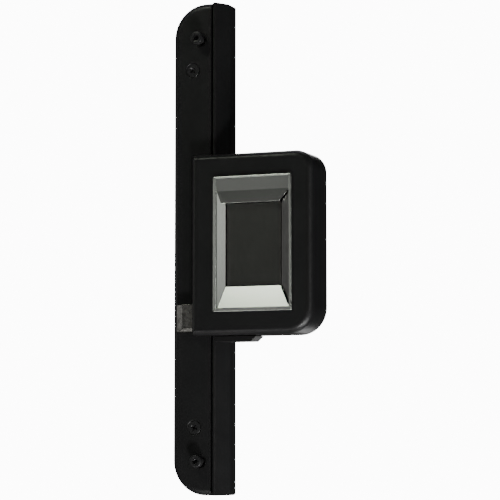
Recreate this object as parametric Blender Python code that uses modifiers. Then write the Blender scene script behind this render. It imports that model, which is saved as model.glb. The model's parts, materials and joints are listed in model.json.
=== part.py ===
"""Surface-mounted electric door strike, modelled as the separate pieces it is assembled from.

Frame: the origin is on the mounting bar's back face, halfway up the bar and in line with its two
mounting screws. +Z is up along the bar, +Y points into the door frame, so the strike faces -Y, and
+X is the side the strike box overhangs.
Every size below is in millimetres; MM turns it into Blender's metres.
"""
import math

import bmesh
import bpy
from mathutils import Matrix, Vector

MM = 0.001
GAP = 0.3               # gap between pieces that touch

# Mounting bar
BAR_LEFT, BAR_RIGHT = -14.0, 12.2
BAR_FRONT = -14.0
BAR_HALF = 114.3
BAR_CORNER = 15.8
BAR_WALL = 2.0
BAR_SIDE_WALL = 3.0     # right wall, which carries the strike box
BAR_END_RADIUS = 1.2
FACET_X = 7.5           # where the flat front turns into the steep facet
FACET_Y = -6.5          # where the facet turns into the side wall
COVER_RIGHT = 5.3
COVER_BACK = -10.5
COVER_ROUND = 3.2
RIDGE_X = 6.3           # the body's ridge beside the cover, across a narrow groove
PLATE_THICK = 1.5
CAVITY_FRONT = -8.5
BOSS_RADIUS = 2.6
CABLE_Z = -60.0

# Strike box
BOX_LEFT, BOX_RIGHT = -2.0, 58.0
BOX_FRONT, BOX_BACK = -21.0, -2.0
BOX_BOTTOM, BOX_TOP = -41.3, 41.9
BOX_CORNER = 12.5       # lower right
BOX_TOP_CORNER = 9.0    # upper right
BOX_ROUND = 3.2
BOX_WALL = 1.6
FACE_THICK = 1.8
FLANGE_FRONT = -15.8    # inner flange that lies on the bar
FLANGE_RIGHT = 8.6
FLANGE_BOTTOM = -25.0
LID_FRONT, LID_BACK = -4.2, -2.4
LID_BOSS_RADIUS = 2.4
PEG_RADIUS = 2.2

# Small cover under the box
ACCESS_BOTTOM = -44.1
ACCESS_X = (6.5, 25.4, 28.2)    # left end, start of the chamfer, right end
ACCESS_Y = (-14.2, -5.0)

# Bezel and pocket
LIP_FRONT = -22.2
FRAME_X = (9.8, 48.2)
FRAME_Z = (-30.9, 31.1)
MOUTH_X = (11.4, 46.9)
MOUTH_Z = (-29.2, 24.4)
BAND_TOP = 30.3         # top of the flat band above the funnel
THROAT_X = (14.4, 41.7)
THROAT_Z = (-19.3, 19.0)
FUNNEL_START, FUNNEL_DEPTH = -21.2, 3.2
LINER_WALL = 1.2

# Keeper
PIN_X, PIN_Y = 44.4, -7.2
PIN_RADIUS = 1.0
BARREL_RADIUS = 2.6
KEEPER_SWING = 30.0     # degrees from locked to fully released
LUG_LENGTH = 9.6
LUG_WIDTH = 1.8
LUG_Z = (-4.0, -1.0)
BARREL_Z = (-18.2, 12.5)

# Solenoid, on an axis parallel to Z
SOLENOID_X, SOLENOID_Y = 52.0, -9.0
SOLENOID_Z = (3.0, 27.0)
YOKE_HALF = 4.1
YOKE_WALL = 0.7
SOLENOID_BORE = 1.55
COLLAR_Z = (32.8, 33.6)

# Follower plate
FOLLOWER_FRONT = -17.0
FOLLOWER_DEPTH = 4.5
FOLLOWER_SKIN = 1.6
FOLLOWER_SPRINGS_X = 24.0
FOLLOWER_SPRINGS_Z = (-9.5, 10.5)
SENSOR_X = 34.0

# Trigger bolt
TRIGGER_OUT = 8.5       # how far the nose stands out past the box
TRIGGER_Z = (-39.4, -27.0)
TRIGGER_Y = (-18.9, -14.4)
TAIL_RIGHT = 10.0
TAIL_HEIGHT = 6.6
GUIDE_LEFT = 9.7        # clear of the nose when it is pushed home
GUIDE_STOP = (24.3, 26.6)

# Fasteners
MOUNT_Z = (97.0, -98.6)
MOUNT_HOLE = 2.1
COVER_SCREWS = ((-3.9, 82.8), (-2.8, -83.4))
PLATE_SCREWS = ((-6.0, 45.0), (-6.0, -45.0))
BOX_SCREWS = ((2.8, 30.0), (2.8, -12.0))
LID_SCREWS = ((20.0, 35.6), (45.0, 35.3), (32.0, -35.4), (44.0, -34.6))
ACCESS_SCREWS = ((15.0, -9.5), (22.0, -9.5))
LEAD_HOLE = (-5.0, 31.0)

# Wiring in the bar
BOARD_X = (-2.8, 8.6)
BOARD_Y = -4.6          # the board's component side
BOARD_Z = (34.5, 84.0)
BOARD_THICK = 1.4
TERMINALS_X = 1.4
TERMINALS_Z = (62.0, 66.0, 70.0, 74.0)

PARTS = "electric_door_strike"
CUTTERS = "cutters"

FINISHES = {
    "black_coat": ((0.012, 0.012, 0.012), 0.38, 0.0),
    "bezel_steel": ((0.62, 0.63, 0.60), 0.28, 1.0),
    "dark_steel": ((0.10, 0.10, 0.10), 0.42, 1.0),
    "zinc_steel": ((0.55, 0.56, 0.58), 0.38, 1.0),
    "spring_steel": ((0.50, 0.50, 0.52), 0.30, 1.0),
    "nickel": ((0.66, 0.65, 0.62), 0.25, 1.0),
    "copper": ((0.72, 0.35, 0.18), 0.35, 1.0),
    "black_plastic": ((0.02, 0.02, 0.02), 0.50, 0.0),
    "white_nylon": ((0.75, 0.74, 0.70), 0.50, 0.0),
    "green_board": ((0.03, 0.16, 0.07), 0.45, 0.0),
    "green_plastic": ((0.05, 0.30, 0.14), 0.45, 0.0),
    "rubber": ((0.02, 0.02, 0.02), 0.80, 0.0),
    "red_lead": ((0.45, 0.03, 0.02), 0.50, 0.0),
}


# ---------------------------------------------------------------- scene helpers

def clear_scene():
    """Remove whatever the scene starts with."""
    for thing in list(bpy.data.objects):
        bpy.data.objects.remove(thing, do_unlink=True)


def collection(name):
    """Make a collection under the scene's own, or return the one already made."""
    found = bpy.data.collections.get(name)
    if found is None:
        found = bpy.data.collections.new(name)
        bpy.context.scene.collection.children.link(found)
    return found


def finish(name):
    """One Principled material for each finish in the table."""
    made = bpy.data.materials.get(name)
    if made is None:
        colour, roughness, metallic = FINISHES[name]
        made = bpy.data.materials.new(name)
        made.use_nodes = True
        shader = made.node_tree.nodes["Principled BSDF"]
        shader.inputs["Base Color"].default_value = (*colour, 1.0)
        shader.inputs["Roughness"].default_value = roughness
        shader.inputs["Metallic"].default_value = metallic
    return made


def new_part(name, mesh, material):
    """A piece of the object, in the parts collection."""
    part = bpy.data.objects.new(name, mesh)
    collection(PARTS).objects.link(part)
    part.data.materials.clear()
    part.data.materials.append(finish(material))
    return part


def as_cutter(name, mesh, matrix=None):
    """A guide that cuts or joins a piece and isn't part of the object."""
    cutter = bpy.data.objects.new(name, mesh)
    if matrix is not None:
        cutter.matrix_world = matrix
    collection(CUTTERS).objects.link(cutter)
    cutter.hide_render = True
    cutter.display_type = "WIRE"
    return cutter


def combine(part, operation, cutters):
    """Add one exact Boolean modifier for each cutter."""
    for cutter in cutters:
        step = part.modifiers.new(cutter.name, "BOOLEAN")
        step.operation = operation
        step.solver = "EXACT"
        step.object = cutter
    return part


def cut(part, *cutters):
    return combine(part, "DIFFERENCE", cutters)


def fuse(part, *cutters):
    return combine(part, "UNION", cutters)


def evaluated_mesh(thing):
    """The mesh of an object with its modifiers applied and its placement baked in."""
    graph = bpy.context.evaluated_depsgraph_get()
    graph.update()
    mesh = bpy.data.meshes.new_from_object(thing.evaluated_get(graph))
    mesh.transform(thing.matrix_world)
    return mesh


def merged_mesh(name, meshes):
    """Several closed bodies in one mesh, left separate."""
    form = bmesh.new()
    for mesh in meshes:
        form.from_mesh(mesh)
    whole = bpy.data.meshes.new(name)
    form.to_mesh(whole)
    form.free()
    return whole


# ---------------------------------------------------------------- shapes

def rounded(corners, steps=6):
    """Outline through corners (a, b, radius), each turned into an arc of that radius."""
    outline = []
    count = len(corners)
    for i, (a, b, radius) in enumerate(corners):
        here = Vector((a, b))
        if radius == 0:
            outline.append(here)
            continue
        before = (Vector(corners[i - 1][:2]) - here).normalized()
        after = (Vector(corners[(i + 1) % count][:2]) - here).normalized()
        half = before.angle(after) / 2
        centre = here + (before + after).normalized() * radius / math.sin(half)
        start = here + before * radius / math.tan(half) - centre
        end = here + after * radius / math.tan(half) - centre
        turn = start.angle_signed(end)
        for step in range(steps + 1):
            spoke = start.copy()
            spoke.rotate(Matrix.Rotation(-turn * step / steps, 2))
            outline.append(centre + spoke)
    return outline


def rounded_box(low, high, left_radius, right_radius, steps=6, top_radius=None):
    """Rectangle with one radius at its left and one at its right, or another at the upper right."""
    (a0, b0), (a1, b1) = low, high
    return rounded([(a0, b0, left_radius), (a1, b0, right_radius),
                    (a1, b1, right_radius if top_radius is None else top_radius),
                    (a0, b1, left_radius)], steps)


AXIS_TURN = {
    "Y": Matrix.Rotation(math.radians(90), 4, "X"),
    "Z": Matrix.Identity(4),
}
AXIS_UNIT = {"X": Vector((1, 0, 0)), "Y": Vector((0, 1, 0)), "Z": Vector((0, 0, 1))}


def sheet_mesh(name, outline, axis, low, high):
    """Flat outline, given across an axis, thickened from low to high along that axis."""
    flat = bpy.data.curves.new(name, "CURVE")
    flat.dimensions = "2D"
    flat.fill_mode = "BOTH"
    flat.extrude = abs(high - low) / 2 * MM
    line = flat.splines.new("POLY")
    line.points.add(len(outline) - 1)
    for point, (a, b) in zip(line.points, outline):
        point.co = (a * MM, b * MM, 0, 1)
    line.use_cyclic_u = True
    guide = bpy.data.objects.new(name + "_outline", flat)
    collection(CUTTERS).objects.link(guide)
    middle = AXIS_UNIT[axis] * (low + high) / 2 * MM
    guide.matrix_world = Matrix.Translation(middle) @ AXIS_TURN[axis]
    mesh = evaluated_mesh(guide)
    bpy.data.objects.remove(guide, do_unlink=True)
    form = bmesh.new()
    form.from_mesh(mesh)
    bmesh.ops.remove_doubles(form, verts=form.verts, dist=1e-6)
    bmesh.ops.dissolve_limit(form, angle_limit=math.radians(0.5), verts=form.verts,
                             edges=form.edges)
    bmesh.ops.recalc_face_normals(form, faces=form.faces)
    form.to_mesh(mesh)
    form.free()
    mesh.name = name
    return mesh


def block_mesh(name, low, high):
    """Box between two corners."""
    form = bmesh.new()
    bmesh.ops.create_cube(form, size=1.0)
    size = Vector(high) - Vector(low)
    centre = (Vector(high) + Vector(low)) / 2
    bmesh.ops.scale(form, vec=size * MM, verts=form.verts)
    bmesh.ops.translate(form, vec=centre * MM, verts=form.verts)
    mesh = bpy.data.meshes.new(name)
    form.to_mesh(mesh)
    form.free()
    return mesh


def cone_mesh(name, start, end, radius_start, radius_end, sides=20):
    """Cylinder or cone between two points."""
    start, end = Vector(start), Vector(end)
    run = end - start
    form = bmesh.new()
    bmesh.ops.create_cone(form, cap_ends=True, segments=sides, radius1=radius_start * MM,
                          radius2=radius_end * MM, depth=run.length * MM)
    turn = Vector((0, 0, 1)).rotation_difference(run).to_matrix().to_4x4()
    form.transform(Matrix.Translation((start + end) / 2 * MM) @ turn)
    mesh = bpy.data.meshes.new(name)
    form.to_mesh(mesh)
    form.free()
    mesh.set_sharp_from_angle(angle=math.radians(35))
    return mesh


def rod_mesh(name, start, end, radius, sides=20):
    return cone_mesh(name, start, end, radius, radius, sides)


def loft_mesh(name, rings):
    """Closed solid through rings of four points, the first and last of them capped."""
    form = bmesh.new()
    loops = [[form.verts.new(Vector(point) * MM) for point in ring] for ring in rings]
    for one, two in zip(loops, loops[1:]):
        for i in range(4):
            j = (i + 1) % 4
            form.faces.new((one[i], one[j], two[j], two[i]))
    form.faces.new(loops[0])
    form.faces.new(loops[-1])
    bmesh.ops.recalc_face_normals(form, faces=form.faces)
    mesh = bpy.data.meshes.new(name)
    form.to_mesh(mesh)
    form.free()
    return mesh


def tube_mesh(name, points, radius, resolution=2):
    """Round wire through points."""
    wire = bpy.data.curves.new(name, "CURVE")
    wire.dimensions = "3D"
    wire.bevel_depth = radius * MM
    wire.bevel_resolution = resolution
    wire.use_fill_caps = True
    line = wire.splines.new("POLY")
    line.points.add(len(points) - 1)
    for point, place in zip(line.points, points):
        point.co = (*(Vector(place) * MM), 1)
    guide = bpy.data.objects.new(name + "_route", wire)
    collection(CUTTERS).objects.link(guide)
    mesh = evaluated_mesh(guide)
    bpy.data.objects.remove(guide, do_unlink=True)
    form = bmesh.new()
    form.from_mesh(mesh)
    bmesh.ops.remove_doubles(form, verts=form.verts, dist=1e-6)
    form.to_mesh(mesh)
    form.free()
    return mesh


def coil_mesh(name, start, axis, length, radius, wire, turns, steps=12):
    """Helical spring from a start point, of a mean radius, along an axis."""
    side = {"X": (1, 2), "Y": (0, 2), "Z": (0, 1)}[axis]
    points = []
    for i in range(turns * steps + 1):
        angle = math.tau * i / steps
        point = Vector(start) + AXIS_UNIT[axis] * length * i / (turns * steps)
        point[side[0]] += radius * math.cos(angle)
        point[side[1]] += radius * math.sin(angle)
        points.append(point)
    return tube_mesh(name, points, wire, 1)


def soften(part, width, segments, chosen):
    """Round the edges that the test picks out, both ends of each being given in millimetres."""
    mesh = part.data
    weight = mesh.attributes.new("bevel_weight_edge", "FLOAT", "EDGE")
    for edge in mesh.edges:
        ends = [mesh.vertices[i].co / MM for i in edge.vertices]
        weight.data[edge.index].value = 1.0 if chosen(*ends) else 0.0
    step = part.modifiers.new("rounded_edges", "BEVEL")
    step.limit_method = "WEIGHT"
    step.width = width * MM
    step.segments = segments
    return part


def on_front(y):
    """Test for edges that lie in the plane at this depth."""
    return lambda a, b: abs(a.y - y) < 0.01 and abs(b.y - y) < 0.01


# ---------------------------------------------------------------- turned pieces and screws

def facing(place, direction):
    """Matrix that puts a local +Z along a direction, at a place."""
    turn = Vector((0, 0, 1)).rotation_difference(Vector(direction))
    return Matrix.Translation(Vector(place) * MM) @ turn.to_matrix().to_4x4()


def turned(name, profile, place, direction, material=None, sides=20):
    """Solid of revolution; the profile is (radius, height) pairs, down its outer side."""
    mesh = bpy.data.meshes.new(name)
    points = [(radius * MM, 0, height * MM) for radius, height in profile]
    mesh.from_pydata(points, [(i, i + 1) for i in range(len(points) - 1)], [])
    thing = new_part(name, mesh, material) if material else as_cutter(name, mesh)
    thing.matrix_world = facing(place, direction)
    step = thing.modifiers.new("turned", "SCREW")
    step.angle = math.tau
    step.steps = step.render_steps = sides
    step.use_merge_vertices = True
    step.merge_threshold = 0.00001
    step.use_smooth_shade = False
    return thing


def screw_profile(head, shank, length, grow=0.0):
    """Countersunk screw, or with the gap to grow by, the hole that takes it."""
    if not grow:
        return [(0, 0), (head, 0), (shank, shank - head), (shank, -length), (0, -length)]
    rim, bore = head + grow * math.sqrt(2), shank + grow
    return [(0, 1), (rim, 1), (rim, 0), (bore, bore - rim), (bore, -length - 1.5),
            (0, -length - 1.5)]


def flat_screws(name, heads, direction, sizes, material, pieces):
    """Countersunk Phillips screws, each with its hole cut through the pieces it joins."""
    head_radius = sizes[0]
    span, width, depth = head_radius * 0.55, head_radius * 0.14, head_radius * 0.35
    slots = [block_mesh(name + "_slot", (-a, -b, -depth), (a, b, 1))
             for a, b in ((span, width), (width, span))]
    for i, head in enumerate(heads):
        label = f"{name}_{i + 1}"
        screw = turned(label, screw_profile(*sizes), head, direction, material)
        placed = facing(head, direction) @ Matrix.Rotation(math.radians(40), 4, "Z")
        cut(screw, *[as_cutter(f"{label}_slot_{k}", slot, placed) for k, slot in enumerate(slots)])
        hole = turned(label + "_hole", screw_profile(*sizes, GAP), head, direction)
        for piece in pieces:
            cut(piece, hole)


# ---------------------------------------------------------------- mounting bar

def bar_outline(inset):
    """The bar seen from the front, its two left corners large arcs."""
    return rounded_box((BAR_LEFT + inset, -BAR_HALF + inset), (BAR_RIGHT - inset, BAR_HALF - inset),
                       BAR_CORNER - inset, BAR_END_RADIUS, 9)


def cavity_outline(inset):
    """The hollow at the back of the bar, and with an inset the plate that closes it."""
    return rounded_box((BAR_LEFT + BAR_WALL + inset, -BAR_HALF + BAR_WALL + inset),
                       (BAR_RIGHT - BAR_SIDE_WALL - inset, BAR_HALF - BAR_WALL - inset),
                       BAR_CORNER - BAR_WALL - inset, BAR_END_RADIUS, 9)


def mount_holes():
    return [as_cutter(f"mount_hole_{i}", rod_mesh("mount_hole", (0, 1, z), (0, -16, z), MOUNT_HOLE))
            for i, z in enumerate(MOUNT_Z)]


def bar_envelope():
    """The bar's outer shape grown by the gap, which trims whatever sits on it."""
    outline = [(BAR_LEFT - GAP, 1), (BAR_LEFT - GAP, BAR_FRONT - GAP),
               (FACET_X + GAP / 2, BAR_FRONT - GAP), (BAR_RIGHT + GAP, FACET_Y - GAP / 2),
               (BAR_RIGHT + GAP, 1)]
    return as_cutter("bar_envelope", sheet_mesh("bar_envelope", outline, "Z", -120, 120))


def bar_body():
    """Cast body: a tray open at the back, its front stepped down to take the cover."""
    body = new_part("bar_body", sheet_mesh("bar_body", bar_outline(0), "Y", BAR_FRONT, 0),
                    "black_coat")
    corner = Vector((FACET_X, BAR_FRONT))
    slope = Vector((BAR_RIGHT, FACET_Y)) - corner
    start, end = corner - slope * 0.2, corner + slope * 1.2
    facet = [tuple(start), (end.x, start.y), tuple(end)]
    cut(body,
        as_cutter("facet_cut", sheet_mesh("facet_cut", facet, "Z", -116, 116)),
        as_cutter("cover_seat", block_mesh("cover_seat", (-14, -16, -116),
                                           (RIDGE_X, COVER_BACK + GAP, 116))),
        as_cutter("bar_cavity", sheet_mesh("bar_cavity", cavity_outline(0), "Y",
                                           CAVITY_FRONT, 1)))
    for i, (x, z) in enumerate(PLATE_SCREWS):
        boss = rod_mesh("plate_boss", (x, CAVITY_FRONT - 0.5, z),
                        (x, -PLATE_THICK - GAP, z), BOSS_RADIUS)
        fuse(body, as_cutter(f"plate_boss_{i}", boss))
    cut(body, *mount_holes())
    hole = rod_mesh("lead_hole", (9, LEAD_HOLE[0], LEAD_HOLE[1]),
                    (14, LEAD_HOLE[0], LEAD_HOLE[1]), 1.8)
    return cut(body, as_cutter("lead_hole", hole))


def bar_cover():
    """Front plate of the bar, with a wide round along its left edge and corners."""
    outline = rounded([(BAR_LEFT, -BAR_HALF, BAR_CORNER), (COVER_RIGHT, -BAR_HALF, 0),
                       (COVER_RIGHT, BAR_HALF, 0), (BAR_LEFT, BAR_HALF, BAR_CORNER)], 9)
    cover = new_part("bar_cover", sheet_mesh("bar_cover", outline, "Y", BAR_FRONT, COVER_BACK),
                     "black_coat")
    rim = on_front(BAR_FRONT)
    soften(cover, COVER_ROUND, 4, lambda a, b: rim(a, b) and min(a.x, b.x) < COVER_RIGHT - 0.01)
    cut(cover, *mount_holes())
    rings = [cone_mesh("mount_sink", (0, BAR_FRONT - 0.5, z), (0, BAR_FRONT + 1.1, z),
                       MOUNT_HOLE + 1.6, MOUNT_HOLE) for z in MOUNT_Z]
    return cut(cover, as_cutter("mount_sinks", merged_mesh("mount_sinks", rings)))


def mounting_plate():
    """Steel plate that closes the bar's back and lies against the door frame."""
    plate = new_part("mounting_plate", sheet_mesh("mounting_plate", cavity_outline(GAP), "Y",
                                                  -PLATE_THICK, 0), "zinc_steel")
    cut(plate, *mount_holes())
    hole = rod_mesh("cable_hole", (0, 1, CABLE_Z), (0, -3, CABLE_Z), 5.6, 28)
    return cut(plate, as_cutter("cable_hole", hole))


def mounting_screws():
    """Two cap screws, as supplied: their heads stand proud of the cover on their shanks."""
    head, shank, high, low = 2.9, 1.6, 5.6, 2.4
    edge = 0.4
    profile = [(0, high), (head - edge, high), (head, high - edge), (head, low), (shank, low),
               (shank, BAR_FRONT + 0.2), (0, BAR_FRONT + 0.2)]
    for i, z in enumerate(MOUNT_Z):
        screw = turned(f"mounting_screw_{i + 1}", profile, (0, BAR_FRONT, z), (0, -1, 0),
                       "black_coat", 28)
        socket = rod_mesh("mount_socket", (0, BAR_FRONT - 7, z), (0, BAR_FRONT - 4.0, z), 1.5, 6)
        cut(screw, as_cutter(f"mount_socket_{i + 1}", socket))


def cable_grommet():
    """Rubber bush in the plate's cable hole."""
    z = CABLE_Z
    bush = new_part("cable_grommet", rod_mesh("cable_grommet", (0, -3.4, z), (0, -0.1, z), 5.3, 28),
                    "rubber")
    flange = rod_mesh("grommet_flange", (0, -3.4, z), (0, -PLATE_THICK - GAP, z), 6.6, 28)
    fuse(bush, as_cutter("grommet_flange", flange))
    bore = rod_mesh("grommet_bore", (0, 1, z), (0, -5, z), 3.6, 28)
    return cut(bush, as_cutter("grommet_bore", bore))


# ---------------------------------------------------------------- strike box

def box_outline(inset, left_radius):
    return rounded_box((BOX_LEFT + inset, BOX_BOTTOM + inset), (BOX_RIGHT - inset, BOX_TOP - inset),
                       left_radius, BOX_CORNER - inset, 9, BOX_TOP_CORNER - inset)


def box_shell(envelope):
    """Cast shell, open at the back, its rear left trimmed to sit over the bar."""
    shell = new_part("box_shell", sheet_mesh("box_shell", box_outline(0, 1.2), "Y",
                                             BOX_FRONT, BOX_BACK), "black_coat")
    soften(shell, BOX_ROUND, 4, on_front(BOX_FRONT))
    inner = box_outline(BOX_WALL, 0.5)
    window = block_mesh("bezel_window", (FRAME_X[0] + 0.6, -23, FRAME_Z[0] + 0.6),
                        (FRAME_X[1] - 0.6, -17, FRAME_Z[1] - 0.6))
    relief = block_mesh("keeper_relief", (MOUTH_X[1] - 0.9, BOX_FRONT + 1.1, MOUTH_Z[0] - 1.0),
                        (PIN_X + 10.2, -18, BAND_TOP + 0.5))
    nose = block_mesh("trigger_window", (BOX_LEFT - 1, TRIGGER_Y[0] - GAP, TRIGGER_Z[0] - GAP),
                      (BOX_LEFT + BOX_WALL + 1, -10, TRIGGER_Z[1] + GAP))
    cut(shell,
        as_cutter("box_cavity", sheet_mesh("box_cavity", inner, "Y", BOX_FRONT + FACE_THICK, 1)),
        as_cutter("bezel_window", window),
        as_cutter("keeper_relief", relief))
    flange = block_mesh("box_flange", (BOX_LEFT + 1, FLANGE_FRONT, FLANGE_BOTTOM),
                        (FLANGE_RIGHT, BAR_FRONT + 1, BOX_TOP - 0.8))
    fuse(shell, as_cutter("box_flange", flange))
    for i, (x, z) in enumerate(LID_SCREWS):
        boss = rod_mesh("lid_boss", (x, BOX_FRONT + FACE_THICK - 0.4, z), (x, LID_FRONT - GAP, z),
                        LID_BOSS_RADIUS)
        fuse(shell, as_cutter(f"lid_boss_{i}", boss))
    return cut(shell, as_cutter("trigger_window", nose), envelope)


def box_back_cover():
    """Lid over the back of the box, with pegs that centre the follower's springs."""
    outline = rounded_box((BAR_RIGHT + 0.6, BOX_BOTTOM + BOX_WALL + GAP),
                          (BOX_RIGHT - BOX_WALL - GAP, BOX_TOP - BOX_WALL - GAP),
                          0.5, BOX_CORNER - BOX_WALL - GAP, 9,
                          BOX_TOP_CORNER - BOX_WALL - GAP)
    lid = new_part("box_back_cover", sheet_mesh("box_back_cover", outline, "Y",
                                                LID_FRONT, LID_BACK), "black_coat")
    for i, z in enumerate(FOLLOWER_SPRINGS_Z):
        peg = rod_mesh("spring_peg", (FOLLOWER_SPRINGS_X, LID_FRONT - 1.6, z),
                       (FOLLOWER_SPRINGS_X, LID_FRONT + 0.6, z), PEG_RADIUS)
        fuse(lid, as_cutter(f"spring_peg_{i}", peg))
    return lid


def access_cover(envelope):
    """Small cover screwed under the box, its right end chamfered."""
    left, chamfer, right = ACCESS_X
    top = BOX_BOTTOM - GAP
    outline = [(left, top), (left, ACCESS_BOTTOM), (chamfer, ACCESS_BOTTOM), (right, top)]
    cover = new_part("access_cover", sheet_mesh("access_cover", outline, "Y", *ACCESS_Y),
                     "black_coat")
    return cut(cover, envelope)


def bezel():
    """Stamped frame around the pocket: a thin lip and three sloping funnel walls."""
    lip = new_part("bezel", block_mesh("bezel", (FRAME_X[0], LIP_FRONT, FRAME_Z[0]),
                                       (FRAME_X[1], BOX_FRONT - GAP, FRAME_Z[1])), "bezel_steel")
    soften(lip, 0.35, 2, on_front(LIP_FRONT))
    inner = block_mesh("bezel_inner", (FRAME_X[0] + 0.9, BOX_FRONT - 0.6, FRAME_Z[0] + 0.9),
                       (FRAME_X[1] - 0.9, FOLLOWER_FRONT - GAP, FRAME_Z[1] - 0.9))
    fuse(lip, as_cutter("bezel_inner", inner))

    def ring(y, xs, zs):
        return [(xs[0], y, zs[0]), (xs[1], y, zs[0]), (xs[1], y, zs[1]), (xs[0], y, zs[1])]

    def part_way(mouth, throat, share):
        return mouth + (throat - mouth) * share

    right = MOUTH_X[1]
    middle_x = part_way(MOUTH_X[0], THROAT_X[0], 0.5)
    middle_z = part_way(MOUTH_Z[0], THROAT_Z[0], 0.5)
    rings = [ring(-24.0, MOUTH_X, (MOUTH_Z[0], BAND_TOP)),
             ring(FUNNEL_START - 0.7, MOUTH_X, (MOUTH_Z[0], BAND_TOP)),
             ring(FUNNEL_START, MOUTH_X, MOUTH_Z),
             ring(FUNNEL_START + FUNNEL_DEPTH / 2, (middle_x, right), (middle_z, THROAT_Z[1])),
             ring(FUNNEL_START + FUNNEL_DEPTH, (THROAT_X[0], right), THROAT_Z),
             ring(-15.0, (THROAT_X[0], right), THROAT_Z)]
    mitre = [(THROAT_X[1] - 0.4, THROAT_Z[0]), (MOUTH_X[1] - 0.3, MOUTH_Z[0]),
             (49, MOUTH_Z[0] - 3), (49, BAND_TOP + 0.8), (MOUTH_X[1] - 0.3, MOUTH_Z[1]),
             (THROAT_X[1] - 0.4, THROAT_Z[1])]
    return cut(lip,
               as_cutter("funnel", loft_mesh("funnel", rings)),
               as_cutter("keeper_side", sheet_mesh("keeper_side", mitre, "Y",
                                                   BOX_FRONT + 0.1, -15)))


def pocket_liner():
    """Steel channel behind the bezel: three walls, with an ear at each end for the hinge pin."""
    left, right = THROAT_X[0] - 0.2 - 1.0, THROAT_X[1] - GAP
    top, bottom = THROAT_Z[1] + GAP, THROAT_Z[0] - GAP
    front, back = FOLLOWER_FRONT + 0.1, LID_FRONT - GAP
    liner = new_part("pocket_liner", block_mesh("pocket_liner", (left, front, bottom - LINER_WALL),
                                                (right, back, top + LINER_WALL)), "zinc_steel")
    hollow = block_mesh("liner_hollow", (left + 1.0, front - 1, bottom), (right + 1, back + 1, top))
    for i, (low, high) in enumerate(((top, top + LINER_WALL), (bottom - LINER_WALL, bottom))):
        ear = block_mesh("liner_ear", (right - 1, -10.0, low), (PIN_X + 2.8, back, high))
        fuse(liner, as_cutter(f"liner_ear_{i}", ear))
    bore = rod_mesh("liner_pin_bore", (PIN_X, PIN_Y, -30), (PIN_X, PIN_Y, 30), PIN_RADIUS + GAP)
    return cut(liner, as_cutter("liner_hollow", hollow), as_cutter("liner_pin_bore", bore))


# ---------------------------------------------------------------- keeper and its lock

def keeper():
    """Pocket's right wall: a ramp and an arm on a hinge barrel, with a lug that the lock stops."""
    ramp_front = FUNNEL_START + 1.7
    profile = [(46.6, ramp_front), (THROAT_X[1], -17.3), (THROAT_X[1], -15.9), (44.2, -15.9),
               (46.6, ramp_front + 1.6)]
    ramp = new_part("keeper", sheet_mesh("keeper", profile, "Z", MOUTH_Z[0] - 1, MOUTH_Z[1] + 1),
                    "dark_steel")
    side = [(THROAT_X[1] - 0.1, THROAT_Z[0] + 0.3), (47.0, MOUTH_Z[0] + 0.1),
            (47.0, MOUTH_Z[1] - 0.1), (THROAT_X[1] - 0.1, THROAT_Z[1] - 0.3)]
    combine(ramp, "INTERSECT", [as_cutter("keeper_mitre", sheet_mesh("keeper_mitre", side, "Y",
                                                                     -22, -12))])
    arm = block_mesh("keeper_arm", (THROAT_X[1], -16.8, THROAT_Z[0] + 0.3),
                     (44.2, PIN_Y, THROAT_Z[1] - 0.3))
    low, high = BARREL_Z
    barrel = rod_mesh("keeper_barrel", (PIN_X, PIN_Y, low), (PIN_X, PIN_Y, high), BARREL_RADIUS)
    towards_lock = math.atan2(SOLENOID_Y - PIN_Y, SOLENOID_X - PIN_X)
    angle = towards_lock - math.radians(KEEPER_SWING / 2)
    lug_line = [(0.5, -LUG_WIDTH / 2), (LUG_LENGTH, -LUG_WIDTH / 2),
                (LUG_LENGTH, LUG_WIDTH / 2), (0.5, LUG_WIDTH / 2)]
    lug_outline = [(PIN_X + a * math.cos(angle) - b * math.sin(angle),
                    PIN_Y + a * math.sin(angle) + b * math.cos(angle)) for a, b in lug_line]
    lug = sheet_mesh("keeper_lug", lug_outline, "Z", *LUG_Z)
    top = block_mesh("keeper_spring_room", (41.0, -11.5, high), (49.0, -3.0, 20.0))
    bore = rod_mesh("keeper_bore", (PIN_X, PIN_Y, -30), (PIN_X, PIN_Y, 30), PIN_RADIUS + GAP)
    cut(fuse(ramp, as_cutter("keeper_arm", arm)), as_cutter("keeper_spring_room", top))
    fuse(ramp, as_cutter("keeper_barrel", barrel), as_cutter("keeper_lug", lug))
    return cut(ramp, as_cutter("keeper_bore", bore))


def keeper_pin():
    low, high = THROAT_Z[0] - GAP - LINER_WALL - 0.5, THROAT_Z[1] + GAP + LINER_WALL + 0.5
    return new_part("keeper_pin", rod_mesh("keeper_pin", (PIN_X, PIN_Y, low), (PIN_X, PIN_Y, high),
                                           PIN_RADIUS), "zinc_steel")


def keeper_spring():
    """Torsion spring wound round the pin above the barrel."""
    start = (PIN_X, PIN_Y, BARREL_Z[1] + 0.9)
    return new_part("keeper_spring", coil_mesh("keeper_spring", start, "Z", 5.1, 1.9, 0.4, 5),
                    "spring_steel")


def solenoid_frame():
    """Folded steel yoke, open to the front."""
    x, y, (low, high) = SOLENOID_X, SOLENOID_Y, SOLENOID_Z
    half, hollow = YOKE_HALF, YOKE_HALF - YOKE_WALL
    frame = new_part("solenoid_frame", block_mesh("solenoid_frame", (x - half, y - half, low),
                                                  (x + half, y + half, high)), "zinc_steel")
    return cut(frame,
               as_cutter("yoke_hollow", block_mesh("yoke_hollow", (x - hollow, y - 6, low + 1),
                                                   (x + hollow, y + hollow, high - 1))),
               as_cutter("yoke_bore", rod_mesh("yoke_bore", (x, y, low - 1), (x, y, high + 1),
                                               SOLENOID_BORE)))


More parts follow.
